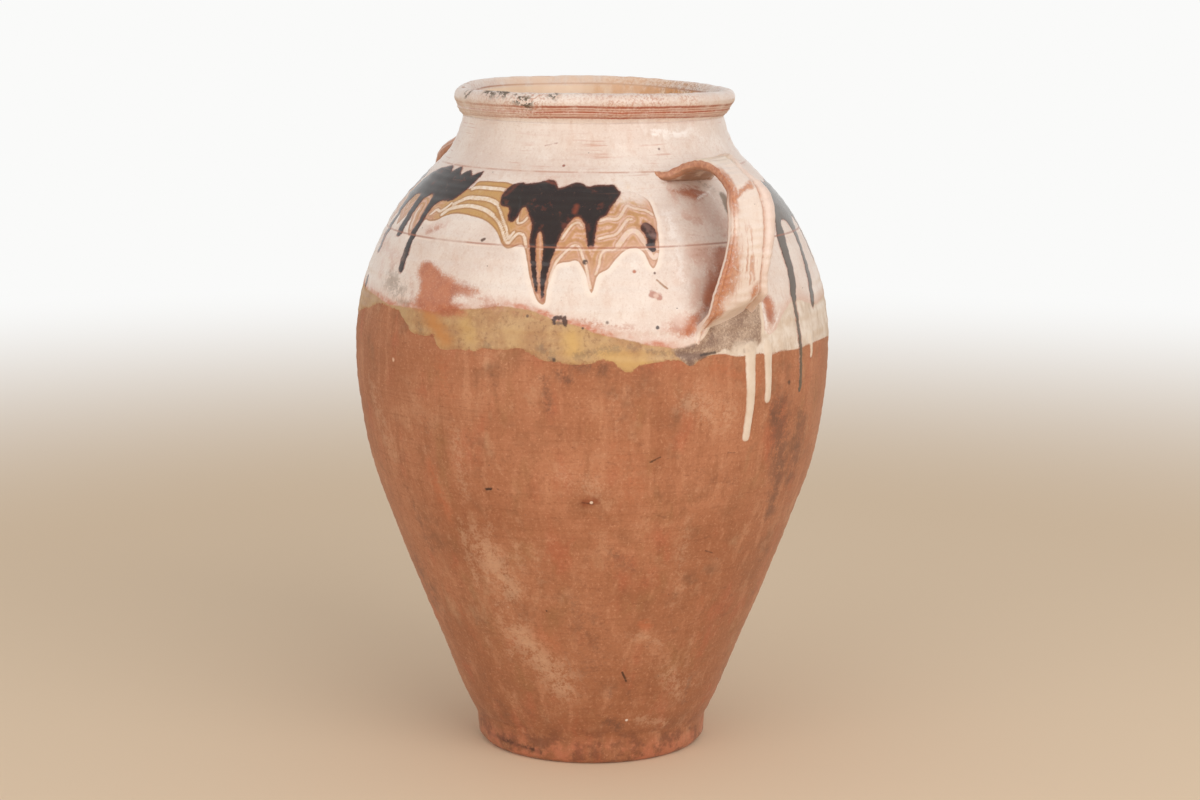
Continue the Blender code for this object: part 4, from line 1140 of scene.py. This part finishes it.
beside_white = white.step(-1.5, -0.6) * waves.step(-0.5, 0.5)
trailed = ragged(white, -0.4, 0.4, size=3, amount=0.4)
trail_look = mixing.mix(fine.step(0.4, 0.65), (238, 220, 200), (226, 198, 168))
trail_look = trail_look.tint((hue * fine.step(0.62, 0.42, bottom=0.1), 226, 196, 180))
colour = colour.tint(
    (poured, wave_look),
    (pale_rim * 0.6, 243, 226, 210),
    (beside_white * hue.step(0.2, 0.8, 0.6, 0.28), 164, 114, 72),
    (trailed * waves.step(-2, 0.2) * cloud.step(0.6, 0.44, bottom=0.8), trail_look),
)

# At their top by the middle splash the waves are worn through to the slip.
worn_top = mixing.near((-21, 388, 115.5), 7, 6, 9, size=6, to=(-26.5, 389, 115))
streaked_slip = slip_look["Color"].tint((drawn.step(0.5, 0.65, top=0.6), 214, 178, 140))
colour = colour.tint((worn_top * 0.9, streaked_slip))

# The black splashes: a thin brown halo where the colour ran out, and translucent brown spots inside. By the
# right handle the black is greyer: partly thin over the beige glaze, partly a painted reflection of the pale
# surroundings.
halo = ragged(dark, -1.5, 0.2, size=2.4, amount=1.4) * cloud.step(0.34, 0.6, bottom=0.25)
colour = colour.tint((halo * 0.75, 156, 86, 60))
black = ragged(dark, -0.4, 0.4, size=2)
thin_black = ragged(dark, 2.2, 0.2, size=3, top=0.9) | mixing.noise(8, detail=4, shift=0.9).step(0.57, 0.7)
black_look = mixing.mix(thin_black * level.step(0.35, 0.372, bottom=0.25), (18, 11, 12), (80, 36, 24))
black_look = black_look.tint(
    (fine.step(0.58, 0.74) * cloud.step(0.45, 0.62), 92, 66, 54),
    # Greyer black by the right handle: partly thin glaze over beige, partly a painted reflection.
    (beige * 0.75, mixing.mix(dark.step(0.9, 0.1), (112, 102, 92), (70, 58, 50))),
    ((1 - slipped) * 0.6, 112, 96, 78),
)
black_look = add_marks(black_look, (
    (-40.1, 378.3, -39.7, 381.5, 1.6, 1.6, 2, (132, 58, 32), 0.8),
    (-42.8, 370.1, 1.6, 1.4, 2, (104, 46, 30), 0.8),
    (-20.3, 370, -18.4, 363.5, 2.2, 1.4, 3, (124, 88, 80), 0.75),
    (-19.2, 366, 1.2, 1, 1.6, (66, 40, 34), 0.8),
    (-63.5, 386.5, -61, 393, 1.2, 1.2, 3, (96, 44, 30), 0.75),
    (-51, 396, -45.5, 393, 0.8, 1, 3, (120, 50, 30), 0.8),
    (-35.4, 357.5, 1.2, 0.8, 1.2, (180, 130, 110), 0.8),
))
bright = mixing.effect(strewn, Spacing=6, Share=0.3, Radius=0.05)["Mask"]
black_look = black_look.tint((bright * 0.8, 196, 176, 160))
colour = colour.tint((black * 0.97, black_look))

# Scored lines round the shoulder, which caught dirt, and red rings from the wheel on the neck.
on_slip = slip.step(0, 4)
score = abs(scored).step(0.8, 0.25) * on_slip * patch.step(0.32, 0.52, bottom=0.45)
pale_score = abs(scored + 1.3).step(0.7, 0.2) * on_slip * patch.step(0.38, 0.54, bottom=0.2)
pale_score = pale_score * (1 - black)
high_line = abs(level - HIGH_LINE_HEIGHT / 1000).step(0.0007, 0.0002) * cloud.step(0.36, 0.56, bottom=0.2)
rings = mixing.noise(1.6, detail=2, stretch=(24, 24, 1), shift=0.5)
rings = rings.step(0.56, 0.7) * patch.step(0.42, 0.62, bottom=0.12) * level.step(0.385, 0.402)
colour = colour.tint(
    (score * 0.62, 164, 98, 72),
    (pale_score * 0.6, 240, 218, 200),
    (high_line * 0.55, 178, 112, 84),
    (rings * 0.5, 194, 132, 106),
)

# Marks on the slip: kiln dirt, rusty specks, a scratch, and chips, of which the largest shows slip in its middle.
COAT_MARKS = (
    (-9.6, 290.3, -6, 291.4, 0.9, 0.6, 1.6, (62, 46, 40), 0.85),
    (-43.3, 315.2, -42.2, 315, 1.3, 0.5, 3, (72, 46, 34), 0.95),
    (-42.9, 311.8, -41.6, 311.4, 1.1, 0.8, 3, (108, 82, 70), 0.8),
    (-43.6, 314.6, -43.7, 311.6, 1.2, 0.5, 3, (66, 42, 38), 0.95),
    (-41.4, 315, -41.1, 311.2, 1.5, 0.6, 3, (74, 46, 32), 0.95),
    (-42.2, 313.3, 0.7, 0.4, 1.4, (190, 150, 124), 0.85), (-36.8, 348.6, 1.7, 0.5, 1.2, (62, 44, 38), 0.9),
    (-36.5, 348.3, 0.7, 0.4, 0.6, (206, 170, 144), 0.9), (-24.6, 342.9, 1.2, 0.5, 0.8, (176, 100, 66), 0.9),
    (-19.5, 341.7, 0.8, 0.4, 0.6, (96, 58, 44), 0.9), (-19.9, 308.7, 1.3, 0.4, 1, (52, 36, 34), 0.9),
    (-31.5, 312.4, 1, 0.5, 0.8, (108, 84, 72), 0.8), (-50.1, 315.6, 1.1, 0.5, 0.8, (84, 58, 46), 0.8),
    (-37.1, 308.9, 0.8, 0.4, 0.6, (62, 44, 40), 0.85), (-43.5, 289.1, 1.3, 0.7, 1.4, (74, 52, 40), 0.85),
    (-65.6, 359.4, -64.9, 360.2, 0.9, 0.5, 1.4, (84, 54, 40), 0.9),
    (-54.6, 417, -49.4, 418.8, 0.3, 0.5, 1.2, (150, 80, 62), 0.75),
    (-7.7, 414.7, 0.9, 0.4, 0.7, (120, 92, 84), 0.8), (-45.9, 405.2, 1, 0.4, 0.8, (140, 66, 44), 0.85),
    (-19.2, 337.5, -16.8, 332.1, 0.7, 0.4, 0.5, (160, 114, 78), 0.9),
    (-20.6, 329, -19, 327.2, 2.3, 0.8, 3.2, (176, 116, 96), 0.85),
    (-19.7, 328.2, 1.6, 0.8, 2.4, (222, 190, 172), 0.75),
)
colour = add_stains(colour, (
    ("rosy", 0.75, 206, 160, 140), ("rusted", 0.92, rust_look), ("kiln", 0.85, 124, 102, 80),
    ("umber", 0.85, 104, 72, 58), ("bright", 0.92, 249, 241, 234),
# The bright stain is thick slip, and round the neck it is a painted highlight.
))
colour = add_marks(colour, COAT_MARKS)
relief = mixing.blend(glazed, clay["Height"], slip_look["Height"])
rough = mixing.blend(slipped, 0.38, 0.3)
for mask, roughness in ((poured, 0.26), (rusty * 0.8, 0.6), (black, 0.17)):
    rough = mixing.blend(mask, rough, roughness)
rough = mixing.blend(glazed, clay["Roughness"], rough + cloud.step(0.4, 0.7, top=0.06))
mixing.paint(shader, relief, Base_Color=colour, Roughness=rough, Specular_IOR_Level=0.4)

rows = np.concatenate([outer, inner])
for label, grid in fields.items():
    fields[label] = np.concatenate([grid, np.repeat(grid[-1:], len(inner), axis=0)])
shoulder_coat = skin("shoulder_coat", rows, coat_material, closed=True, fields=fields)
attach(shoulder_coat, "root")
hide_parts("outer_glaze")


# The rim is the jar's rolled lip with a ridged collar below it, dipped in the same slip and glaze. Its roll is
# a little warped and is worn and chipped to the clay in places.
RIM_COLUMNS, RIM_SPACING = 620, 0.55
rim_turns = all_round(RIM_COLUMNS)
RIM = (
    (86.4, 427), (86.8, 429.8), (87.6, 431.8), (89, 433.8), (90.6, 436.2), (91.6, 438.6), (92.1, 440.4),
    (92.9, 441.6), (94.1, 443.2), (94.6, 445.2), (94.4, 447.2), (93.4, 449.2), (91.9, 450.5), (89.9, 451.2),
    (87.8, 451), (86, 449.9), (84.8, 448.2), (84, 446.6), (83, 443.2), (82, 439), (81.2, 434),
)
rim_line, rim_length, rim_slope = measured(evenly(curve(RIM, 10), RIM_SPACING))
# The collar's three ridges, then fine and broad unevenness.
lift = 0.0 * rim_length
for ridge, high in ((434.9, 0.3), (437.9, 0.42), (440.6, 0.36)):
    lift = lift + high * hump(rim_line[:, 1], ridge, 0.75) * (rim_line[:, 0] > 85.5)
lift = lift[:, None] + 0.14 * ripple(rim_turns, rim_length[:, None], 22.0, 31)
lift = lift + 0.1 * ripple(rim_turns, rim_length[:, None], 60.0, 32)
radius = rim_line[:, :1] + lift * rim_slope[:, 1:]
height = rim_line[:, 1:] - lift * rim_slope[:, :1]


# The lip's crest is not level: degrees round, and mm above its mean height.
RIM_WARP = (
    (-180, 1.55), (-165, 1.55), (-148, 1), (-125, -1.1), (-80, -0.9), (-35, -0.4), (10, -1.4), (55, -2.4),
    (96, -1.2), (124, 0.7), (146, 1.5), (180, 1.55),
)


def rim_warp(turn, height):
    """How far the rim stands above or below a level circle, growing from the neck to the lip."""
    collar = 2.1 * np.maximum(np.cos(np.radians(turn + 30.0)), 0.0) * hump(height, 432.5, 3.6)
    return np.interp(turn, *curve(RIM_WARP, 8).T) * ease(height, 421.0, 444.0) + collar


height = height + rim_warp(rim_turns, height)
oval = 1.0 + 0.004 * np.cos(np.radians(2 * rim_turns + 20.0)) * ease(height, 425.0, 446.0)
outer = placed(radius * oval, rim_turns, height)
# The lip sits a little off the neck's centre.
outer[..., :2] += np.array([0.6, 0.8]) * ease(outer[..., 2:], 433.0, 446.0)
back = (
    (81.6, 434.4), (83.4, 442), (86, 447), (89.6, 448.4), (92.4, 446.6), (91.2, 443.2), (89, 437.6), (86.2, 432.2),
    (85.6, 427.4),
)
inner = turned(back, rim_turns)
inner[..., 2] += rim_warp(rim_turns, inner[..., 2])

rim_material, mixing, shader = new_material("glazed_rim")
slip_look = mixing.effect(white_slip, Thin=0)
level, crest, worn = mixing.fields("level", "crest", "worn")
cloud = mixing.noise(11, detail=5, rough=0.62)
fine = mixing.noise(1.7, detail=4, rough=0.68, shift=0.4)
round_rim = mixing.noise(30, shift=0.35)
on_lip = level.step(431, 434)
colour = slip_look["Color"].tint((on_lip * cloud.step(0.45, 0.7, top=0.35), 228, 198, 174))
clean = mixing.near((32, 446, 93), 38, 16)
speckle = on_lip * fine.step(0.48, 0.58) * round_rim.step(0.34, 0.56, bottom=0.35) * worn
speckle = speckle * clean.step(1, 0, bottom=0.15)
collar = level.step(431.8, 434.4) * level.step(444.6, 442.2)
washed = collar * cloud.step(0.3, 0.62, bottom=0.3)
colour = colour.tint((speckle * 0.72, 184, 118, 86), (washed * worn * 0.5, 204, 148, 120))
wavering = level + (round_rim - 0.5) * 1.6
collar_lines = (
    (442.4, 0.75, 0.9), (440.6, 0.25, 0.7), (438.8, 0.5, 0.95), (437, 0.26, 0.7), (435, 0.22, 0.6),
    (433.2, 0.5, 0.95),
)
for line, half, strength in collar_lines:
    ridge_line = abs(wavering - line).step(half + 0.3, half * 0.5) * cloud.step(0.3, 0.5, bottom=0.4)
    ridge_line = ridge_line * fine.step(0.3, 0.5, bottom=0.5)
    colour = colour.tint((ridge_line * worn * strength, 166, 86, 58))

# Inside the lip a red line runs round, with pale glaze above it and amber below it at the back.
lip_line = abs(crest - 8.2).step(0.9, 0.2) * cloud.step(0.3, 0.5, bottom=0.4)
amber = crest.step(7.6, 9.4) * mixing.near((112, 444, 84), 44, 18, 30, size=12)
amber = amber * mixing.noise(7, rough=0.5, stretch=(1, 1, 3), shift=0.6).step(0.36, 0.58)
rusty_lip = mixing.near((112, 450, 88), 40, 20, 26, size=12) * fine.step(0.4, 0.62)
olive_lip = mixing.near((98, 451, 90), 26, 12, 16, size=8) * fine.step(0.48, 0.62) * crest.step(-4, -1)
far_lip = mixing.near((150, 450, 88), 62, 24) * on_lip * cloud.step(0.3, 0.55, bottom=0.4)
colour = colour.tint(
    (lip_line * 0.8, 172, 106, 72),
    (crest.step(8, 11, top=0.85), 252, 220, 184),
    (amber * 0.9, 222, 146, 66),
    (rusty_lip * 0.6, 206, 146, 98),
    (olive_lip * 0.4, 164, 118, 76),
    (far_lip * 0.6, 236, 196, 162),
)

# The roll is chipped at the front left, and its crest is rubbed through in short stretches.
rubbed = abs(crest).step(1.9, 0.5) * cloud.step(0.5, 0.64) * clean.step(1, 0, bottom=0.3)
chipped = (
    mixing.near((-84, 450.2, 91.5), 4, 2.4, 4, size=5, to=(-74, 450.4, 91.5))
    | mixing.near((-67, 447.5, 94), 4.4, 2.6, 4, size=5, to=(-62, 444, 94.6))
    | mixing.near((-51, 449.5, 92), 3.5, 2.5, 4, size=5)
    | mixing.near((-99, 448, 92), 4, 3, 5, size=5)
)
chips = chipped * mixing.noise(4.6, detail=4, rough=0.65, stretch=(1, 1, 0.7), shift=0.8).step(0.5, 0.56)
colour = colour.tint((rubbed * 0.7, 170, 112, 80), (chips * 0.88, 88, 76, 56))
rough = mixing.blend(chips | rubbed * 0.6, 0.3, 0.75)
relief = slip_look["Height"] - chips * 0.45
mixing.paint(shader, relief, Base_Color=colour, Roughness=rough, Specular_IOR_Level=0.45)

rows = np.concatenate([outer, inner])
# The rim is painted by its level on the outer side, the length over its crest, and how worn it is round the jar.
profile = np.concatenate([rim_line, back])
length = np.concatenate([rim_length, np.full(len(back), rim_length[-1])])
crest = length - rim_length[np.argmax(rim_line[:, 1])]
level = np.where(crest > 0.0, 451.0, profile[:, 1])
worn = 0.45 + 0.55 * ease(around(rim_turns, -80.0), 0.0, 26.0) * ease(-around(rim_turns, 80.0), 0.0, 30.0)
worn_behind = 0.25 + 0.5 * ease(ripple(rim_turns, 0.0, 120.0, 61), 0.0, 0.8)
worn = np.where(np.abs(around(rim_turns, 0.0)) < 100.0, worn, worn_behind)
rim_fields = {"worn": worn, "level": level[:, None], "crest": crest[:, None]}
rim_fields = {label: values + 0.0 * rows[..., 0] for label, values in rim_fields.items()}
glazed_rim = skin("glazed_rim", rows, rim_material, closed=True, fields=rim_fields)
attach(glazed_rim, "root")
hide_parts("outer_glaze")


# The inside is lined with a honey-coloured glaze, poured in and swilled round. It is pale and rosy near the lip,
# and amber streaks run down from it.
LINING = (
    (81.9, 438.8), (81, 434), (80.2, 429), (79.9, 424.5), (80.4, 420), (83, 413.4), (88.4, 404.6), (102.6, 390),
    (122, 368), (136.6, 342), (146.6, 316), (151.4, 290), (152, 270), (150.4, 243), (143, 202), (128, 158),
    (110.2, 112), (93.2, 71), (80, 41), (73.6, 29), (66, 20.4), (54, 16.6), (36, 15.4), (18, 15), (3, 15),
)
LINING_COLUMNS, LINING_SPACING = 320, 3.4
lining_line, lining_length, lining_slope = measured(evenly(curve(LINING, 8), LINING_SPACING))
lining_turns = all_round(LINING_COLUMNS)
lift = 0.18 * ripple(lining_turns, lining_length[:, None], 40.0, 41) + 0.14 * np.sin(lining_length / 1.9)[:, None]
lift = lift * ease(lining_line[:, 0], 4.0, 40.0)[:, None]
inside_rows = turned(lining_line, lining_turns)
inside_rows[..., 2] += lift * -lining_slope[:, :1]
back_line = lining_line[::-1] + np.stack([-lining_slope[::-1, 1], lining_slope[::-1, 0]], axis=1) * 0.6
back_line[:, 0] = np.maximum(back_line[:, 0], 2.0)
rows = np.concatenate([turned(back_line, lining_turns), inside_rows])

lining_material, mixing, shader = new_material("honey_glaze")
height = mixing.level()
cloud = mixing.noise(24, detail=5, stretch=(1, 1, 2.4))
streak = mixing.noise(13, detail=4, stretch=(1, 1, 5), shift=0.3)
fine = mixing.noise(2.8, detail=4, rough=0.65)
amber_run = mixing.near((120, 437, 81), 48, 14, 30, size=12) * streak.step(0.32, 0.54, bottom=0.25)
pits = mixing.effect(strewn, Spacing=6, Share=0.3, Radius=0.06)["Mask"]
colour = mixing.mix(cloud.step(0.36, 0.66), (196, 140, 84), (214, 164, 108)).tint(
    (height.step(0.4, 0.44), 250, 220, 188),
    (streak.step(0.54, 0.72, top=0.7), 176, 112, 66),
    (amber_run * 0.8, 228, 160, 86),
    (fine.step(0.52, 0.74, top=0.35), 180, 120, 74),
    (pits * 0.75, 92, 58, 38),
)
mixing.paint(shader, cloud * 0.3 - pits * 0.15, Base_Color=colour, Roughness=0.25)
honey_lining = skin("honey_lining", rows, lining_material, first_pole=True, last_pole=True)
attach(honey_lining, "root")
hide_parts("inner_glaze")


# Each handle is a strap pulled by hand: a flat panel with a round bead down its right side and a thin lip down
# its left, pressed on the shoulder with a smear at the top and two thumbed ridges at the foot, and glazed.
STATIONS, SECTION_POINTS = 250, 132
# The strap's middle line as (distance from the axis, height).
STRAP_PATH = (
    (90, 391.5), (95.8, 393.9), (101.2, 395.5), (108.6, 398.4), (116.8, 403.4), (125.5, 407.4), (134.4, 408.9),
    (143.1, 407.6), (151, 403.9), (158.2, 399.4), (164.4, 394.3), (168.8, 386), (171.6, 376.3), (173.2, 366.2),
    (173.8, 356.7), (173.5, 347), (172.3, 336), (170.6, 325.4), (168.9, 316.9), (166.6, 309.8), (163.5, 304.2),
    (159.4, 299.7), (153, 295.6), (147.6, 292.7),
)
strap_line = evenly(curve(STRAP_PATH, 12), 0.1)
strap_length = along(strap_line)
station = np.linspace(0.0, strap_length[-1], STATIONS)
path = np.stack([np.interp(station, strap_length, part) for part in strap_line.T], axis=1)
heading = np.gradient(path, station, axis=0)
heading = heading / np.linalg.norm(heading, axis=1, keepdims=True)
last = strap_length[-1]
# The strap's half widths to the left and right of its middle line, at lengths along it.
LEFT_WIDTHS = (
    (0, 27), (18, 23), (30, 17), (48, 13.5), (60, 11.5), (72, 11), (83, 12), (91, 14.5), (101, 15.4), (114, 17),
    (125, 19.6), (135, 22.6), (148, 26), (163, 27.5), (175, 29), (186, 31), (last, 32),
)
RIGHT_WIDTHS = (
    (0, 25), (18, 21), (30, 17), (48, 14.5), (60, 12), (70, 12.8), (78, 16.5), (87, 19.5), (97, 20.4), (110, 18.8),
    (123, 16), (136, 13.6), (145, 14.4), (152, 17), (158, 20), (168, 24), (last, 25),
)
left_half, right_half = (np.interp(station, *np.array(widths).T) for widths in (LEFT_WIDTHS, RIGHT_WIDTHS))
turn_round = np.linspace(0.0, math.tau, SECTION_POINTS, endpoint=False)
across = np.sign(np.cos(turn_round)) * np.abs(np.cos(turn_round)) ** 0.86
top_side = np.sin(turn_round) >= 0.0
# The section: a flat panel, a groove, then a round bead on the right; a fine lip stands at the left edge.
flat = np.clip(1.0 - np.abs(across) ** 10.0, 0.0, 1.0) ** 0.4
roll = np.sqrt(np.clip(1.0 - ((across - 0.74) / 0.26) ** 2, 0.0, 1.0))
face = 3.2 * flat * (across < 0.62) - 1.1 * hump(across, 0.5, 0.05) - 0.3 * hump(across, -0.15, 0.35)
face = face + 0.5 * hump(across, -0.95, 0.04) - 0.7 * hump(across, -0.87, 0.05)
face = np.maximum(face, 4.4 * roll)
under = 0.5 * hump(across, 0.0, 0.5) - np.maximum(3.8 * flat * (across < 0.62), 4.0 * roll)
section = np.where(top_side, face, under)
# The foot is pressed into the wall on a slant: first the bead, then the panel, and last the lip's thin edge.
sinks = ease(station[:, None] + (9.0 * across - 4.0 * ease(across, 0.5, 0.7)), 151.0, 171.0)
rooted = ease(station, 26.0, 6.0)[:, None] * ease(-across, 0.2, 0.8)
sinks = np.maximum(sinks, 0.85 * rooted)
proud = -3.0 + 4.0 * ease(-across, 0.86, 0.93) * ease(station, 190.0, 180.0)[:, None]


def between(start, full, fading, gone):
    """How much each station lies between two lengths along the strap, eased in and out, as a column."""
    return (ease(station, start, full) * ease(station, gone, fading))[:, None]


def pulled(seed, raised):
    """One strap's rows in mm, not yet turned to its place, with its arch raised, and the numbers it carries."""
    side = across * np.where(across < 0.0, left_half[:, None], right_half[:, None])
    wave = ripple(station[:, None] * 2.0, side, 26.0, seed)
    lift = section + 0.22 * wave * np.where(top_side, 1.0, 0.6)
    drift = 0.7 * np.sin(station / 31.0 + seed)[:, None]
    out = path[:, :1] - heading[:, 1:] * lift
    up = path[:, 1:] + heading[:, :1] * lift
    # The left side is higher at the root, then the right side, which droops again over the crest.
    up = up + 5.0 * ease(station, 26.0, 6.0)[:, None] * np.clip(-across, 0.0, 1.0)
    up = up - 2.2 * ease(across, 0.2, 1.0) * between(40.0, 64.0, 72.0, 94.0)
    up = up + 1.2 * across * between(10.0, 34.0, 50.0, 66.0)
    up = up + raised * between(10.0, 50.0, 75.0, 150.0)
    out = out + 0.6 * raised * between(40.0, 72.0, 82.0, 108.0)
    # Both ends bend round the wall, and what is pressed down stays a little proud of the wall or in it.
    wall = np.interp(up, wall_line[:, 1], wall_line[:, 0])
    hug = np.maximum(ease(station, 60.0, 20.0), ease(station, 130.0, 172.0))[:, None]
    wall_there = np.sqrt(np.maximum(wall**2 - side**2, 1.0))
    out = out - hug * (wall - wall_there)
    buried = wall_there + np.where(top_side, proud, -4.5)
    out = out + sinks * (np.minimum(buried, out) - out)
    fields = {"along": station[:, None], "across": across, "outer": np.clip(face * top_side / 3.0, 0.0, 1.0)}
    fields = {label: values + 0.0 * side for label, values in fields.items()}
    return np.stack([out, side + drift, up], axis=-1), fields


strap_material, mixing, shader = new_material("glazed_strap")
clay = mixing.effect(fired_clay, Soot=0.6)
slip_look = mixing.effect(white_slip, Thin=0.1)
along_strap, across_strap, outer_face = mixing.fields("along", "across", "outer")
cloud = mixing.noise(9, detail=5, rough=0.62)
fine = mixing.noise(2.4, detail=4, rough=0.65, shift=0.4)
pulls = mixing.noise(3, stretch=(1, 1, 9), shift=0.15)
colour = slip_look["Color"].tint((0.4, 238, 219, 203))
rust_look = mixing.mix(fine.step(0.36, 0.66), (172, 100, 66), (200, 138, 100))


def band(value, middle, half, soft):
    """A mask round a middle value, with soft edges."""
    return abs(value - middle).step(half + soft, half - soft)


# Cream and yellowish on top, with rust where the glaze ran thin: down the lip's groove, along the bead, in a bar
# across the top of the panel, in streaks near its foot, and brown along the lip's thick side. Underneath is bare
# clay, with painted shade making it darker brown under the arch near the upper root.
crest_part = along_strap.step(66, 46) * cloud.step(0.38, 0.58, bottom=0.3)
colour = colour.tint((crest_part * 0.6, 232, 212, 180))
wander = (cloud - 0.5) * 0.5
wavy_across = across_strap + wander
groove_line = band(wavy_across, -0.88, 0.035, 0.05) * cloud.step(0.36, 0.52, bottom=0.25)
groove_line = groove_line * along_strap.step(84, 96)
high_stain = wavy_across.step(-0.5, -0.74) * band(along_strap, 90, 9, 6)
low_stain = wavy_across.step(-0.28, -0.66) * band(along_strap, 134, 16, 12)
low_edge = wavy_across.step(-0.62, -0.84) * along_strap.step(104, 122) * along_strap.step(174, 162)
right_line = band(across_strap, 0.5, 0.04, 0.05) * cloud.step(0.36, 0.52, bottom=0.3) * along_strap.step(70, 84)
far_line = cloud.step(0.36, 0.5, bottom=0.3) | band(along_strap, 46, 34, 12)
far_line = band(across_strap, 0.955, 0.045, 0.03) * far_line * along_strap.step(148, 138)
slant = along_strap + across_strap * 7
bar = band(slant + wander * 18, 83, 2.2, 1.4) * band(across_strap, -0.3, 0.66, 0.1)
shoulder_stain = wavy_across.step(-0.55, -0.8) * band(along_strap, 76, 10, 8)
low_patch = band(along_strap + across_strap * 12, 150, 4.5, 3) * band(wavy_across, 0.22, 0.17, 0.1)
streaks = pulls.step(0.5, 0.62) * band(along_strap, 128, 20, 12) * across_strap.step(0.4, 0.1)
rust_places = (
    (groove_line, 0.7), (high_stain, 0.75), (low_stain, 0.8), (low_edge, 0.85), (right_line, 0.75), (far_line, 0.9),
    (bar, 0.85), (shoulder_stain, 0.85), (low_patch, 0.9), (streaks, 0.65),
)
for mask, strength in rust_places:
    mask = mask * outer_face.step(0.1, 0.4) * strength
    colour = colour.tint((mask * fine.step(0.34, 0.5, bottom=0.4), rust_look))
pink_bead = band(across_strap, 0.76, 0.2, 0.06) * outer_face * cloud.step(0.38, 0.6, bottom=0.4)
left_side = wavy_across.step(-0.86, -0.93) * along_strap.step(96, 80)
foot_side = band(across_strap, -0.86, 0.05, 0.04) * along_strap.step(156, 166)
bare = outer_face.step(0.35, 0.05) * cloud.step(0.3, 0.5, bottom=0.4) * across_strap.step(-0.9995, -0.985)
# Painted shade: the bare underside is darker brown from the upper root to the crest.
underside_clay_and_shade = mixing.mix(along_strap.step(50, 84), (142, 100, 74), (176, 112, 76))
underside_clay_and_shade = clay["Color"].tint((along_strap.step(84, 50, bottom=0.7, top=0.75), underside_clay_and_shade))
colour = colour.tint(
    (pink_bead * 0.5, 218, 186, 170),
    ((left_side | foot_side) * 0.88, rust_look),
    (bare * 0.88, underside_clay_and_shade),
)
mixing.paint(shader, slip_look["Height"], Base_Color=colour, Roughness=0.33)

# Degrees round the jar, the seed of the unevenness, and how much higher the arch is in mm.
STRAPS = (("right_strap", "handle_right", 0, 51, 0.0), ("left_strap", "handle_left", 180, 57, 3.4))
for name, node, turn, seed, raised in STRAPS:
    rows, fields = pulled(seed, raised)
    cos, sin = math.cos(math.radians(turn)), math.sin(math.radians(turn))
    rows[..., :2] = rows[..., :2] @ np.array([[cos, sin], [-sin, cos]])
    strap = skin(name, rows, strap_material, first_pole=True, last_pole=True, fields=fields)
    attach(strap, "root")
    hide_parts(node)
